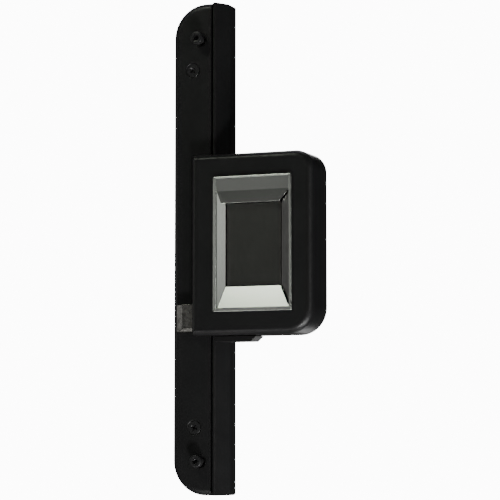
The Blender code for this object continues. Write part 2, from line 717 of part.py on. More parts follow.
def ring_part(name, low, high, outer, inner, material, sides=24):
    """Tube around the solenoid's axis."""
    x, y = SOLENOID_X, SOLENOID_Y
    tube = new_part(name, rod_mesh(name, (x, y, low), (x, y, high), outer, sides), material)
    bore = as_cutter(name + "_bore", rod_mesh(name, (x, y, low - 1), (x, y, high + 1), inner, sides))
    return tube, bore


def solenoid_bobbin():
    """Nylon spool inside the winding."""
    low, high = SOLENOID_Z[0] + 1 + GAP, SOLENOID_Z[1] - 1 - GAP
    spool, bore = ring_part("solenoid_bobbin", low, high, 2.0, SOLENOID_BORE, "white_nylon")
    x, y = SOLENOID_X, SOLENOID_Y
    for i, (a, b) in enumerate(((low, low + 0.8), (high - 0.8, high))):
        flange = rod_mesh("bobbin_flange", (x, y, a), (x, y, b), 3.1, 24)
        fuse(spool, as_cutter(f"bobbin_flange_{i}", flange))
    return cut(spool, bore)


def solenoid_coil():
    """Copper winding."""
    low, high = SOLENOID_Z[0] + 1 + GAP + 0.8 + GAP, SOLENOID_Z[1] - 1 - GAP - 0.8 - GAP
    winding, bore = ring_part("solenoid_coil", low, high, 3.1, 2.3, "copper")
    return cut(winding, bore)


def lock_plunger():
    """Solenoid core with the lock pin at its foot and a collar for the return spring."""
    x, y = SOLENOID_X, SOLENOID_Y
    low, high = COLLAR_Z
    core = new_part("lock_plunger", rod_mesh("lock_plunger", (x, y, 7.5), (x, y, high), 1.2),
                    "nickel")
    pin = rod_mesh("lock_pin", (x, y, LUG_Z[1] + 1.0), (x, y, 8.0), 0.95)
    collar = rod_mesh("plunger_collar", (x, y, low), (x, y, high), 2.6)
    return fuse(core, as_cutter("lock_pin", pin), as_cutter("plunger_collar", collar))


def plunger_spring():
    return new_part("plunger_spring", coil_mesh("plunger_spring",
                                                (SOLENOID_X, SOLENOID_Y, SOLENOID_Z[1] + 0.7),
                                                "Z", 4.7, 2.0, 0.3, 4), "spring_steel")


# ---------------------------------------------------------------- follower

def follower_plate():
    """Dark plate at the bottom of the pocket, a shallow cup that the latch bolt pushes back."""
    x = (THROAT_X[0] + 0.2, THROAT_X[1] - 0.4)
    z = (THROAT_Z[0] + 0.1, THROAT_Z[1] - 0.1)
    cup = new_part("follower_plate", block_mesh("follower_plate", (x[0], FOLLOWER_FRONT, z[0]),
                                                (x[1], FOLLOWER_FRONT + FOLLOWER_DEPTH, z[1])),
                   "dark_steel")
    soften(cup, 0.4, 2, on_front(FOLLOWER_FRONT))
    hollow = block_mesh("follower_hollow", (x[0] + 1.2, FOLLOWER_FRONT + FOLLOWER_SKIN, z[0] + 1.2),
                        (x[1] - 1.2, FOLLOWER_FRONT + 6, z[1] - 1.2))
    return cut(cup, as_cutter("follower_hollow", hollow))


def follower_springs():
    """Two compression springs between the plate and the back cover."""
    start, length = FOLLOWER_FRONT + FOLLOWER_SKIN + 0.7, 9.9
    for i, z in enumerate(FOLLOWER_SPRINGS_Z):
        name = f"follower_spring_{i + 1}"
        new_part(name, coil_mesh(name, (FOLLOWER_SPRINGS_X, start, z), "Y", length, 3.4, 0.35, 5),
                 "spring_steel")


def follower_magnet():
    y = FOLLOWER_FRONT + FOLLOWER_SKIN + GAP
    return new_part("follower_magnet", rod_mesh("follower_magnet", (SENSOR_X, y, 0),
                                                (SENSOR_X, y + 1.2, 0), 1.8), "nickel")


def follower_sensor():
    """Hall sensor on the back cover that sees the follower's magnet."""
    return new_part("follower_sensor",
                    block_mesh("follower_sensor", (SENSOR_X - 2, LID_FRONT - 1.6, -2),
                               (SENSOR_X + 2, LID_FRONT - GAP, 2)), "black_plastic")


# ---------------------------------------------------------------- trigger

def trigger_bolt():
    """Steel nose at the box's lower left, with a tail that runs inside the box."""
    left, right = BOX_LEFT - TRIGGER_OUT, BOX_LEFT + BOX_WALL + 1.4
    (y0, y1), (z0, z1) = TRIGGER_Y, TRIGGER_Z
    nose = new_part("trigger_bolt", block_mesh("trigger_bolt", (left, y0, z0), (right, y1, z1)),
                    "nickel")
    front = on_front(y0)
    soften(nose, 1.3, 1, lambda a, b: (max(a.x, b.x) < left + 0.01 and min(a.y, b.y) < y0 + 0.01)
           or (front(a, b) and max(a.z, b.z) < z0 + 0.01))
    tail = block_mesh("trigger_tail", (right - 1, y0 + 1, z0 + 0.4),
                      (TAIL_RIGHT, y1 - 0.3, z0 + 0.4 + TAIL_HEIGHT))
    return fuse(nose, as_cutter("trigger_tail", tail))


def trigger_guide():
    """Nylon guide: a rail over the tail and a stop that holds the spring's far end."""
    (y0, y1), z = TRIGGER_Y, TRIGGER_Z[0] + TAIL_HEIGHT + 0.8
    low, high = GUIDE_STOP
    rail = new_part("trigger_guide", block_mesh("trigger_guide", (GUIDE_LEFT, y0, z),
                                                (high, y1, z + 1.3)), "white_nylon")
    stop = block_mesh("trigger_stop", (low, y0, TRIGGER_Z[0]), (high, y1, z + 0.5))
    return fuse(rail, as_cutter("trigger_stop", stop))


def trigger_spring():
    y = (TRIGGER_Y[0] + TRIGGER_Y[1]) / 2
    start = (TAIL_RIGHT + 0.8, y, TRIGGER_Z[0] + 3.7)
    return new_part("trigger_spring", coil_mesh("trigger_spring", start, "X", 12.8, 1.6, 0.28, 6),
                    "spring_steel")


def trigger_magnet():
    y = TRIGGER_Y[0]
    z = TRIGGER_Z[0] + 4.2
    return new_part("trigger_magnet", rod_mesh("trigger_magnet", (6, y + 0.1, z),
                                               (6, y + 0.7, z), 1.6), "nickel")


def trigger_sensor():
    """Hall sensor above the rail that sees the trigger's magnet."""
    z = TRIGGER_Z[0] + TAIL_HEIGHT + 0.8 + 1.3 + 0.4
    return new_part("trigger_sensor", block_mesh("trigger_sensor", (11.0, -16.6, z),
                                                 (15.0, -14.6, z + 3.0)), "black_plastic")


# ---------------------------------------------------------------- wiring in the bar

def circuit_board():
    return new_part("circuit_board", block_mesh("circuit_board", (BOARD_X[0], BOARD_Y, BOARD_Z[0]),
                                                (BOARD_X[1], BOARD_Y + BOARD_THICK, BOARD_Z[1])),
                    "green_board")


def board_standoffs():
    """Four short posts between the board and the mounting plate."""
    places = [(x, z) for x in (BOARD_X[0] + 1.6, BOARD_X[1] - 1.6)
              for z in (BOARD_Z[0] + 2.5, BOARD_Z[1] - 2.5)]
    for i, (x, z) in enumerate(places):
        name = f"board_standoff_{i + 1}"
        new_part(name, rod_mesh(name, (x, BOARD_Y + BOARD_THICK + GAP, z),
                                (x, -PLATE_THICK - GAP, z), 1.3, 12), "white_nylon")


def terminal_block():
    """Four-way screw terminal on the board."""
    y = BOARD_Y - GAP
    block = new_part("terminal_block", block_mesh("terminal_block", (-1.8, y - 3.2, 60.0),
                                                  (6.8, y, 76.0)), "green_plastic")
    wells = [rod_mesh("well", (TERMINALS_X, y - 4, z), (TERMINALS_X, y - 1.4, z), 1.5, 16)
             for z in TERMINALS_Z]
    return cut(block, as_cutter("terminal_wells", merged_mesh("terminal_wells", wells)))


def terminal_screws():
    y = BOARD_Y - GAP
    for i, z in enumerate(TERMINALS_Z):
        name = f"terminal_screw_{i + 1}"
        screw = new_part(name, rod_mesh(name, (TERMINALS_X, y - 2.9, z),
                                        (TERMINALS_X, y - 1.4 - GAP, z), 1.2, 16), "nickel")
        slot = block_mesh("terminal_slot", (TERMINALS_X - 0.25, y - 4, z - 2),
                          (TERMINALS_X + 0.25, y - 2.3, z + 2))
        cut(screw, as_cutter(name + "_slot", slot))


def relay():
    y = BOARD_Y - GAP
    return new_part("relay", block_mesh("relay", (-1.6, y - 3.0, 47.5), (6.4, y, 57.0)),
                    "black_plastic")


def capacitor():
    """Electrolytic capacitor lying on the board."""
    y = BOARD_Y - GAP - 1.7
    return new_part("capacitor", rod_mesh("capacitor", (4.8, y, 37.0), (4.8, y, 45.5), 1.6, 16),
                    "nickel")


def solenoid_leads():
    """Sleeved leads from the solenoid, through the bar's side, to the board."""
    y, z = LEAD_HOLE
    route = [(50.0, -6.2, 27.6), (49.6, -6.2, 29.2), (48.2, -6.1, 30.2), (44.0, -6.0, 30.6),
             (38.0, -5.8, z), (28.0, -5.6, z), (20.0, -5.3, z), (14.5, y, z), (9.0, y, z),
             (7.6, y - 0.3, z + 0.3), (6.4, y - 0.9, z + 1.0), (5.2, y - 1.4, z + 2.0),
             (3.4, y - 1.4, z + 3.2), (1.6, y - 1.0, z + 4.6), (1.0, y - 0.8, z + 6.0)]
    return new_part("solenoid_leads", tube_mesh("solenoid_leads", route, 0.8), "red_lead")


# ---------------------------------------------------------------- joints

def pivot(name, place, pieces):
    """An empty on a joint's axis that carries the pieces moving with it."""
    empty = bpy.data.objects.new(name, None)
    empty.location = Vector(place) * MM
    empty.empty_display_size = 0.01
    collection(PARTS).objects.link(empty)
    bpy.context.view_layer.update()
    for piece in pieces:
        piece.parent = empty
        piece.matrix_parent_inverse = empty.matrix_world.inverted()


def fastened(envelope):
    """Everything held by countersunk screws, with the screws."""
    front, back, under = (0, -1, 0), (0, 1, 0), (0, 0, -1)
    body, cover, plate = bar_body(), bar_cover(), mounting_plate()
    shell, lid, access = box_shell(envelope), box_back_cover(), access_cover(envelope)
    flat_screws("cover_screw", [(x, BAR_FRONT + 0.05, z) for x, z in COVER_SCREWS], front,
                (3.1, 1.4, 5.2), "black_coat", (cover, body))
    flat_screws("plate_screw", [(x, -0.1, z) for x, z in PLATE_SCREWS], back,
                (2.0, 1.0, 6.0), "zinc_steel", (plate, body))
    flat_screws("box_fixing_screw", [(x, FLANGE_FRONT + 0.05, z) for x, z in BOX_SCREWS], front,
                (2.2, 1.2, 6.6), "zinc_steel", (shell, cover, body))
    flat_screws("back_cover_screw", [(x, LID_BACK - 0.05, z) for x, z in LID_SCREWS], back,
                (2.0, 1.0, 7.0), "black_coat", (lid, shell))
    flat_screws("access_cover_screw", [(x, y, ACCESS_BOTTOM + 0.05) for x, y in ACCESS_SCREWS], under,
                (1.8, 0.9, 4.7), "black_coat", (access, shell))


def build():
    clear_scene()
    envelope = bar_envelope()
    fastened(envelope)
    mounting_screws()
    cable_grommet()
    bezel()
    pocket_liner()
    keeper_pin()
    keeper_spring()
    solenoid_frame()
    solenoid_bobbin()
    solenoid_coil()
    plunger_spring()
    follower_springs()
    follower_sensor()
    trigger_guide()
    trigger_spring()
    trigger_sensor()
    circuit_board()
    board_standoffs()
    terminal_block()
    terminal_screws()
    relay()
    capacitor()
    solenoid_leads()
    pivot("keeper_axis", (PIN_X, PIN_Y, 0), [keeper()])
    pivot("plunger_axis", (SOLENOID_X, SOLENOID_Y, 0), [lock_plunger()])
    pivot("follower_axis", (THROAT_X[0], FOLLOWER_FRONT, 0), [follower_plate(), follower_magnet()])
    pivot("trigger_axis", (BOX_LEFT, TRIGGER_Y[0], TRIGGER_Z[0]), [trigger_bolt(), trigger_magnet()])


build()
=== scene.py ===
"""Looks of the surface-mounted electric door strike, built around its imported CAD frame."""

import json
import math

import bmesh
import bpy
from mathutils import Matrix, Vector


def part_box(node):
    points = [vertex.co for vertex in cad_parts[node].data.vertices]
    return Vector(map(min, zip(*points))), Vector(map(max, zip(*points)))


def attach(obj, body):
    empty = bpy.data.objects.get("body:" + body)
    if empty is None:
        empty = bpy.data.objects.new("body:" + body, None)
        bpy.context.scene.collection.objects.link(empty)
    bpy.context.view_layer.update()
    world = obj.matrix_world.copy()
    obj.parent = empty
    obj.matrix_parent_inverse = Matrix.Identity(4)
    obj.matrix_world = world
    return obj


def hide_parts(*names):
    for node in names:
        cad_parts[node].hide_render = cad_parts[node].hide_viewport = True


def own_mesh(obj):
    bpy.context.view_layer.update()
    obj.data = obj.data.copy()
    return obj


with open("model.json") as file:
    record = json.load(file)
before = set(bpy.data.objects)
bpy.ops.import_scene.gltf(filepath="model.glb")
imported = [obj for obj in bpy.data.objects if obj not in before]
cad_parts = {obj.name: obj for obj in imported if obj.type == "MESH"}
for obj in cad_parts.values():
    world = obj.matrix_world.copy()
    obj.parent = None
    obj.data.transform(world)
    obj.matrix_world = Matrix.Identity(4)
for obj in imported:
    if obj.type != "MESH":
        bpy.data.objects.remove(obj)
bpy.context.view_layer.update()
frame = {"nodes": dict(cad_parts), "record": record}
NODES = frame["nodes"]
MM = 0.001

X, Y, Z = 0, 1, 2


def limits(node, axis):
    """Lowest and highest value of a CAD node along an axis, in millimetres, to a hundredth."""
    return tuple(round(corner[axis] / MM, 2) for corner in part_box(node))


def middle(node, axis):
    """Middle of a CAD node along an axis, likewise."""
    return round(sum(corner[axis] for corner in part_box(node)) / 2 / MM, 2)


def extent(node, axis):
    """Length of a CAD node along an axis, likewise."""
    low, high = limits(node, axis)
    return round(high - low, 2)


# Sizes are in millimetres, except those of the camera, the stage and the lights, in metres

# Assembly gap between pieces
GAP = 0.3

# Places read from the frame
BAR_X = limits("bar_body", X)
BAR_FRONT = limits("bar_body", Y)[0]
BAR_HALF = limits("bar_body", Z)[1]
PLATE_FRONT = limits("mounting_plate", Y)[0]
COVER_RIGHT = limits("bar_cover", X)[1]
COVER_BACK = limits("bar_cover", Y)[1]
MOUNT_Z = [middle(f"mounting_screw_{i}", Z) for i in (1, 2)]
CABLE_Z = middle("cable_grommet", Z)
BOX_X, BOX_Y, BOX_Z = [limits("box_shell", axis) for axis in (X, Y, Z)]
LID_LEFT = limits("box_back_cover", X)[0]
LID_BACK = limits("box_back_cover", Y)[1]
FRAME_X, FRAME_Z = limits("bezel", X), limits("bezel", Z)
LIP_FRONT, BEZEL_BACK = limits("bezel", Y)
PIN = (middle("keeper_pin", X), middle("keeper_pin", Y))
SOLENOID = (middle("solenoid_coil", X), middle("solenoid_coil", Y))
NOSE_LEFT = limits("trigger_bolt", X)[0]
NOSE_Y, NOSE_Z = limits("trigger_bolt", Y), limits("trigger_bolt", Z)
TAB_RIGHT = limits("access_cover", X)[1]
TAB_Y = limits("access_cover", Y)
TAB_BOTTOM = limits("access_cover", Z)[0]
SPRING_Z = [middle(f"follower_spring_{i}", Z) for i in (1, 2)]

# The bar's hollow, which the mounting plate fills but for the gap
PLATE_X = limits("mounting_plate", X)
CAVITY_X = (PLATE_X[0] - GAP, PLATE_X[1] + GAP)
CAVITY_HALF = limits("mounting_plate", Z)[1] + GAP

# Sizes of the CAD model that its boxes don't give
BAR_CORNER = 15.8
END_ROUND = 1.2
CAVITY_CORNER = 13.8
CAVITY_FRONT = -8.5
COVER_ROUND = 3.2
RIDGE_X = 6.3
GROOVE_BACK = -12.7
FACET_START = 7.5
FACET_BACK = -6.5
FACET = ((FACET_START, BAR_FRONT), (BAR_X[1], FACET_BACK))
MOUNT_HOLE = 2.1
BOX_CORNER, BOX_TOP_CORNER = 12.5, 9.0
BOX_ROUND = 3.2
BOX_WALL = 1.6
FACE_THICK = 1.8
LID_THICK = 1.8
LID_Y = (LID_BACK - LID_THICK, LID_BACK)
MOUTH_X, MOUTH_Z = (11.4, 46.9), (-29.2, 24.4)
BAND_TOP = 30.3
THROAT_X, THROAT_Z = (14.4, 41.7), (-19.3, 19.0)
NOSE_X = (NOSE_LEFT, 1.0)
FLANGE_FRONT = -15.8
TAB_X = (6.5, 25.4, TAB_RIGHT)

# The bezel's lip: its rounding and wall; and the depths of the bezel's rings
LIP_ROUND = 0.35
LIP_WALL = 0.9
CREASE_Y, HALFWAY_Y, THROAT_Y = -21.2, -19.6, -18.0

# A distance past everything, for cutters
PAST = 120.0

# Camera: where it looks, from which side, and how far away
TARGET = Vector((0.0249, -0.014, -0.0024))
CAMERA_AZIMUTH = math.radians(22.0)
CAMERA_ELEVATION = math.radians(-5.4)
CAMERA_DISTANCE = 0.944
CAMERA_LENS = 148.5

# Countersunk screws by name: where their heads face, and the shank's radius
FRONT, BACK, UNDER = (0, -1, 0), (0, 1, 0), (0, 0, -1)
COUNTERSUNK = {
    "cover_screw": (FRONT, 1.4),
    "plate_screw": (BACK, 1.0),
    "box_fixing_screw": (FRONT, 1.2),
    "back_cover_screw": (BACK, 1.0),
    "access_cover_screw": (UNDER, 0.9),
}

# Points closer than MERGE become one in a loft, and closer than CLEAN after a Boolean, in
# millimetres. The bezel's faces above FLAT_AREA, in square millimetres, are shaded flat.
MERGE = 0.03
CLEAN = 0.004
FLAT_AREA = 20.0

# Stage and lights
LIGHT_DISTANCE = 0.9
FLOOR_Z = -1.1
FLOOR_RADIUS = 4.0
BACKDROP = 12.0


# ---------------------------------------------------------------- materials

class Nodes:
    """A material's node tree, with one short method for each kind of node used here."""

    def __init__(self, name, colour, roughness, metallic=0.0, **inputs):
        self.material = bpy.data.materials.new(name)
        self.material.use_nodes = True
        self.tree = self.material.node_tree
        self.shader = self.tree.nodes["Principled BSDF"]
        self.shader.inputs["Base Color"].default_value = (*colour, 1.0)
        self.shader.inputs["Roughness"].default_value = roughness
        self.shader.inputs["Metallic"].default_value = metallic
        for key, value in inputs.items():
            self.shader.inputs[key.replace("_", " ")].default_value = value
        self.place = self.tree.nodes.new("ShaderNodeTexCoord").outputs["Object"]

    def link(self, source, target):
        """Join two sockets."""
        self.tree.links.new(source, target)

    def scaled(self, scale):
        """Object coordinates, in metres, stretched along each axis."""
        node = self.tree.nodes.new("ShaderNodeMapping")
        node.inputs["Scale"].default_value = scale
        self.link(self.place, node.inputs["Vector"])
        return node.outputs["Vector"]

    def noise(self, scale, detail=4.0, roughness=0.55, stretch=(1, 1, 1)):
        """Noise with so many features to the metre."""
        node = self.tree.nodes.new("ShaderNodeTexNoise")
        node.inputs["Scale"].default_value = scale
        node.inputs["Detail"].default_value = detail
        node.inputs["Roughness"].default_value = roughness
        self.link(self.scaled(stretch), node.inputs["Vector"])
        return node.outputs["Fac"]

    def span(self, fac, low, high, start=0.3, end=0.7):
        """Map a factor from start..end on to low..high."""
        node = self.tree.nodes.new("ShaderNodeMapRange")
        node.inputs["From Min"].default_value = start
        node.inputs["From Max"].default_value = end
        node.inputs["To Min"].default_value = low
        node.inputs["To Max"].default_value = high
        self.link(fac, node.inputs["Value"])
        return node.outputs["Result"]

    def mix(self, fac, one, two):
        """Blend two colours, given as tuples or sockets."""
        node = self.tree.nodes.new("ShaderNodeMix")
        node.data_type = "RGBA"
        self.link(fac, node.inputs["Factor"])
        for socket, value in ((node.inputs["A"], one), (node.inputs["B"], two)):
            if isinstance(value, tuple):
                socket.default_value = (*value, 1.0)
            else:
                self.link(value, socket)
        return node.outputs["Result"]

    def edges(self, radius, low=0.02, high=0.25):
        """1 near the piece's sharp outer edges and 0 on its faces."""
        bevel = self.tree.nodes.new("ShaderNodeBevel")
        bevel.samples = 6
        bevel.inputs["Radius"].default_value = radius
        plain = self.tree.nodes.new("ShaderNodeNewGeometry")
        dot = self.tree.nodes.new("ShaderNodeVectorMath")
        dot.operation = "DOT_PRODUCT"
        self.link(bevel.outputs["Normal"], dot.inputs[0])
        self.link(plain.outputs["Normal"], dot.inputs[1])
        return self.span(dot.outputs["Value"], 1.0, 0.0, 1.0 - high, 1.0 - low)

    def times(self, one, two):
        """Product of a socket and a socket or plain number."""
        node = self.tree.nodes.new("ShaderNodeMath")
        node.operation = "MULTIPLY"
        self.link(one, node.inputs[0])
        if isinstance(two, float):
            node.inputs[1].default_value = two
        else:
            self.link(two, node.inputs[1])
        return node.outputs["Value"]

    def bump(self, height, distance, strength):
        """Bump of this depth, in metres."""
        node = self.tree.nodes.new("ShaderNodeBump")
        node.inputs["Distance"].default_value = distance
        node.inputs["Strength"].default_value = strength
        self.link(height, node.inputs["Height"])
        self.link(node.outputs["Normal"], self.shader.inputs["Normal"])


def powder_coat():
    """Satin black powder coat on cast metal: fine orange peel, faint sheen changes, worn edges."""
    n = Nodes("black_coat", (0.017, 0.017, 0.0174), 0.36, Specular_IOR_Level=0.38)
    cloud = n.noise(60.0, 3.0)
    peel = n.noise(1500.0, 2.0, 0.5)
    worn = n.times(n.edges(0.0006), n.span(n.noise(220.0, 5.0), 0.0, 1.0, 0.50, 0.66))
    colour = n.mix(n.span(cloud, 0.0, 1.0), (0.0155, 0.0155, 0.0158), (0.0190, 0.0190, 0.0193))
    n.link(n.mix(n.times(worn, 0.55), colour, (0.045, 0.045, 0.047)), n.shader.inputs["Base Color"])
    n.link(n.span(n.noise(130.0, 4.0), 0.32, 0.42), n.shader.inputs["Roughness"])
    n.bump(peel, 0.00006, 0.35)
    return n.material


def brushed(name, colour, roughness, stretch, depth=0.000004, spread=0.08):
    """Metal with fine brush lines along the axis that the stretch leaves small."""
    n = Nodes(name, colour, roughness, 1.0)
    lines = n.noise(2600.0, 3.0, 0.6, stretch)
    cloud = n.noise(45.0, 3.0)
    dark = tuple(c * 0.9 for c in colour)
    bright = tuple(min(1.0, c * 1.05) for c in colour)
    base = n.mix(n.span(lines, 0.0, 1.0), dark, colour)
    base = n.mix(n.times(n.span(cloud, 0.0, 1.0), 0.35), base, bright)
    n.link(n.mix(n.times(n.edges(0.0002), 0.5), base, bright), n.shader.inputs["Base Color"])
    n.link(n.span(lines, roughness - spread / 2, roughness + spread), n.shader.inputs["Roughness"])
    n.bump(lines, depth, 0.4)
    return n.material


def plated(name, colour, roughness, mottle=0.18):
    """Plated steel: mottled, with fine pits and brighter edges."""
    n = Nodes(name, colour, roughness, 1.0)
    cloud = n.noise(380.0, 5.0, 0.6)
    dark = tuple(c * (1 - mottle) for c in colour)
    bright = tuple(min(1.0, c * 1.15) for c in colour)
    base = n.mix(n.span(cloud, 0.0, 1.0), dark, colour)
    n.link(n.mix(n.times(n.edges(0.0003), 0.6), base, bright), n.shader.inputs["Base Color"])
    n.link(n.span(n.noise(700.0, 4.0), roughness - 0.06, roughness + 0.12),
           n.shader.inputs["Roughness"])
    n.bump(n.noise(2600.0, 2.0), 0.000006, 0.4)
    return n.material


def moulded(name, colour, roughness, grain=1800.0, depth=0.00003):
    """Moulded plastic or rubber with a fine texture."""
    n = Nodes(name, colour, roughness)
    cloud = n.noise(90.0, 3.0)
    dark = tuple(c * 0.85 for c in colour)
    bright = tuple(min(1.0, c * 1.12) for c in colour)
    n.link(n.mix(n.span(cloud, 0.0, 1.0), dark, bright), n.shader.inputs["Base Color"])
    n.link(n.span(n.noise(240.0, 3.0), roughness - 0.06, roughness + 0.06),
           n.shader.inputs["Roughness"])
    n.bump(n.noise(grain, 2.0), depth, 0.4)
    return n.material


def make_materials():
    """One material for each of the record's slots."""
    return {
        "black_coat": powder_coat(),
        "black_screw": moulded("black_screw", (0.024, 0.024, 0.0245), 0.34, 2400.0, 0.00001),
        "bezel_steel": brushed("bezel_steel", (0.70, 0.73, 0.67), 0.21, (0.03, 1.0, 1.0), 0.000001,
                               0.02),
        "dark_steel": brushed("dark_steel", (0.165, 0.165, 0.160), 0.38, (1.0, 1.0, 0.04)),
        "dark_panel": brushed("dark_panel", (0.178, 0.178, 0.170), 0.42, (1.0, 1.0, 0.05)),
        "nose_steel": plated("nose_steel", (0.42, 0.41, 0.38), 0.27, 0.60),
        "zinc_steel": plated("zinc_steel", (0.52, 0.53, 0.55), 0.34),
        "spring_steel": plated("spring_steel", (0.46, 0.46, 0.48), 0.28, 0.1),
        "nickel": plated("nickel", (0.50, 0.49, 0.46), 0.30, 0.35),
        "copper": brushed("copper", (0.62, 0.26, 0.11), 0.32, (0.03, 0.03, 6.0)),
        "black_plastic": moulded("black_plastic", (0.018, 0.018, 0.018), 0.5),
        "white_nylon": moulded("white_nylon", (0.70, 0.69, 0.65), 0.5),
        "green_board": moulded("green_board", (0.02, 0.12, 0.05), 0.42),
        "green_plastic": moulded("green_plastic", (0.04, 0.26, 0.12), 0.48),
        "rubber": moulded("rubber", (0.018, 0.018, 0.018), 0.75, 900.0, 0.00006),
        "red_lead": moulded("red_lead", (0.38, 0.02, 0.015), 0.45),
    }


# ---------------------------------------------------------------- camera, light and stage

def direction(azimuth, elevation):
    """Unit vector from the target towards a viewer at this azimuth and elevation, in radians."""
    level = math.cos(elevation)
    return Vector((math.sin(azimuth) * level, -math.cos(azimuth) * level, math.sin(elevation)))


def add_camera():
    """Camera at the distance and angles given at the top."""
    lens = bpy.data.cameras.new("camera")
    lens.lens = CAMERA_LENS
    lens.sensor_width = 36.0
    camera = bpy.data.objects.new("camera", lens)
    bpy.context.scene.collection.objects.link(camera)
    away = direction(CAMERA_AZIMUTH, CAMERA_ELEVATION)
    camera.location = TARGET + away * CAMERA_DISTANCE
    camera.rotation_euler = away.to_track_quat("Z", "Y").to_euler()
    bpy.context.scene.camera = camera


def add_panel(name, azimuth, elevation, size, power, distance=LIGHT_DISTANCE, colour=(1, 1, 1)):
    """Square soft light that faces the object from this azimuth and elevation, in degrees."""
    lamp = bpy.data.lights.new(name, "AREA")
    lamp.size = size
    lamp.energy = power
    lamp.color = colour
    panel = bpy.data.objects.new(name, lamp)
    bpy.context.scene.collection.objects.link(panel)
    away = direction(math.radians(azimuth), math.radians(elevation))
    panel.location = TARGET + away * distance
    panel.rotation_euler = away.to_track_quat("Z", "Y").to_euler()


def add_lights():
    """Key light from below, then a small soft light for each group of faces, then the back."""
    add_panel("key_below", 30, -49, 0.10, 2.6, distance=0.8)
    # The bezel's bottom bevel, the lower edges, the top bevel's two bands and the front faces
    add_panel("softbox_upper_left", -31, 44, 0.20, 1.35, colour=(0.94, 1.0, 0.87))
    add_panel("softbox_lower_left", -35, -50, 0.20, 0.5)
    add_panel("glint_front", -22, -6, 0.15, 0.016)
    add_panel("glint_band", -24, -27, 0.15, 0.013)
    add_panel("glint_lips", -22, 6, 0.15, 0.034)
    # The keeper's ramp, the nose's left chamfer, the bezel's left bevel and the box's crease
    add_panel("strip_left", -68, 5, 0.25, 0.24)
    add_panel("strip_far_left", -90, 5, 0.20, 0.08)
    add_panel("strip_right", 72, 8, 0.20, 0.10)
    add_panel("strip_crease", 48, -2, 0.15, 0.50)
    # The box's lower right corner and the nose's bottom chamfer
    add_panel("kicker_lower_right", 70, -52, 0.42, 4.4)
    add_panel("kicker_lower_left", -70, -66, 0.20, 0.15)
    add_panel("corner_glint", -174, -23, 0.20, 0.22)
    # The sides, the back and the top
    add_panel("back_right", 115, 45, 0.50, 0.15)
    add_panel("back_left", -155, 25, 0.50, 3.0)
    add_panel("back_low", 172, -58, 0.35, 0.6)
    add_panel("overhead", -165, 72, 0.50, 1.5)


def add_world():
    """White where the camera sees it directly, dim in reflections."""
    world = bpy.data.worlds.new("world")
    bpy.context.scene.world = world
    world.use_nodes = True
    tree = world.node_tree
    backdrop = tree.nodes["Background"]
    backdrop.inputs["Color"].default_value = (1, 1, 1, 1)
    backdrop.inputs["Strength"].default_value = BACKDROP
    room = tree.nodes.new("ShaderNodeBackground")
    room.inputs["Color"].default_value = (1, 1, 1, 1)
    room.inputs["Strength"].default_value = 0.02
    path = tree.nodes.new("ShaderNodeLightPath")
    choice = tree.nodes.new("ShaderNodeMixShader")
    tree.links.new(path.outputs["Is Camera Ray"], choice.inputs["Fac"])
    tree.links.new(room.outputs["Background"], choice.inputs[1])
    tree.links.new(backdrop.outputs["Background"], choice.inputs[2])
    tree.links.new(choice.outputs["Shader"], tree.nodes["World Output"].inputs["Surface"])


def add_floor():
    """Plain pale floor, well below the object, as bright as the backdrop and casting no light."""
    mesh = bpy.data.meshes.new("floor")
    form = bmesh.new()
    bmesh.ops.create_circle(form, cap_ends=True, segments=64, radius=FLOOR_RADIUS)
    form.to_mesh(mesh)
    form.free()
    floor = bpy.data.objects.new("floor", mesh)
    bpy.context.scene.collection.objects.link(floor)
    floor.location = (TARGET.x, TARGET.y, FLOOR_Z)
    n = Nodes("floor", (0.85, 0.85, 0.85), 0.8, Emission_Color=(1, 1, 1, 1), Emission_Strength=BACKDROP)
    mesh.materials.append(n.material)
    floor.visible_diffuse = floor.visible_glossy = floor.visible_shadow = False


# ---------------------------------------------------------------- mesh helpers

def to_mesh(form, name):
    """Finish a bmesh given in millimetres."""
    bmesh.ops.recalc_face_normals(form, faces=form.faces)
    bmesh.ops.scale(form, vec=(MM, MM, MM), verts=form.verts)
    mesh = bpy.data.meshes.new(name)
    form.to_mesh(mesh)
    form.free()
    return mesh


def loft(name, rings, loop=False):
    """Solid through rings of equal point counts: capped at both ends, or closed on itself."""
    form = bmesh.new()
    rows = [[form.verts.new(point) for point in ring] for ring in rings]
    pairs = list(zip(rows, rows[1:] + rows[:1])) if loop else list(zip(rows, rows[1:]))
    count = len(rows[0])
    for one, two in pairs:
        for i in range(count):
            j = (i + 1) % count
            form.faces.new((one[i], one[j], two[j], two[i]))
    if not loop:
        form.faces.new(rows[0])
        form.faces.new(rows[-1])
    bmesh.ops.remove_doubles(form, verts=form.verts, dist=MERGE)
    return to_mesh(form, name)


def rounded(corners, steps=20):
    """Outline through corners (a, b, radius), each turned into an arc."""
    outline = []
    count = len(corners)
    for i, (a, b, radius) in enumerate(corners):
        here = Vector((a, b))
        radius = max(radius, 0.02)
        before = (Vector(corners[i - 1][:2]) - here).normalized()
        after = (Vector(corners[(i + 1) % count][:2]) - here).normalized()
        half = before.angle(after) / 2
        centre = here + (before + after).normalized() * radius / math.sin(half)
        start = here + before * radius / math.tan(half) - centre
        end = here + after * radius / math.tan(half) - centre
        turn = start.angle_signed(end)
        for step in range(steps + 1):
            spoke = start.copy()
            spoke.rotate(Matrix.Rotation(-turn * step / steps, 2))
            outline.append(centre + spoke)
    return outline


def frame_outline(xs, zs, left, right, inset=0.0, steps=20, keep_right=False, top=None):
    """Rectangle in X and Z, its corners rounded (upper right: top), drawn in by an inset."""
    x1 = xs[1] if keep_right else xs[1] - inset
    top = right if top is None else top
    return rounded([(xs[0] + inset, zs[0] + inset, left - inset),
                    (x1, zs[0] + inset, right - inset),
                    (x1, zs[1] - inset, top - inset),
                    (xs[0] + inset, zs[1] - inset, left - inset)], steps)


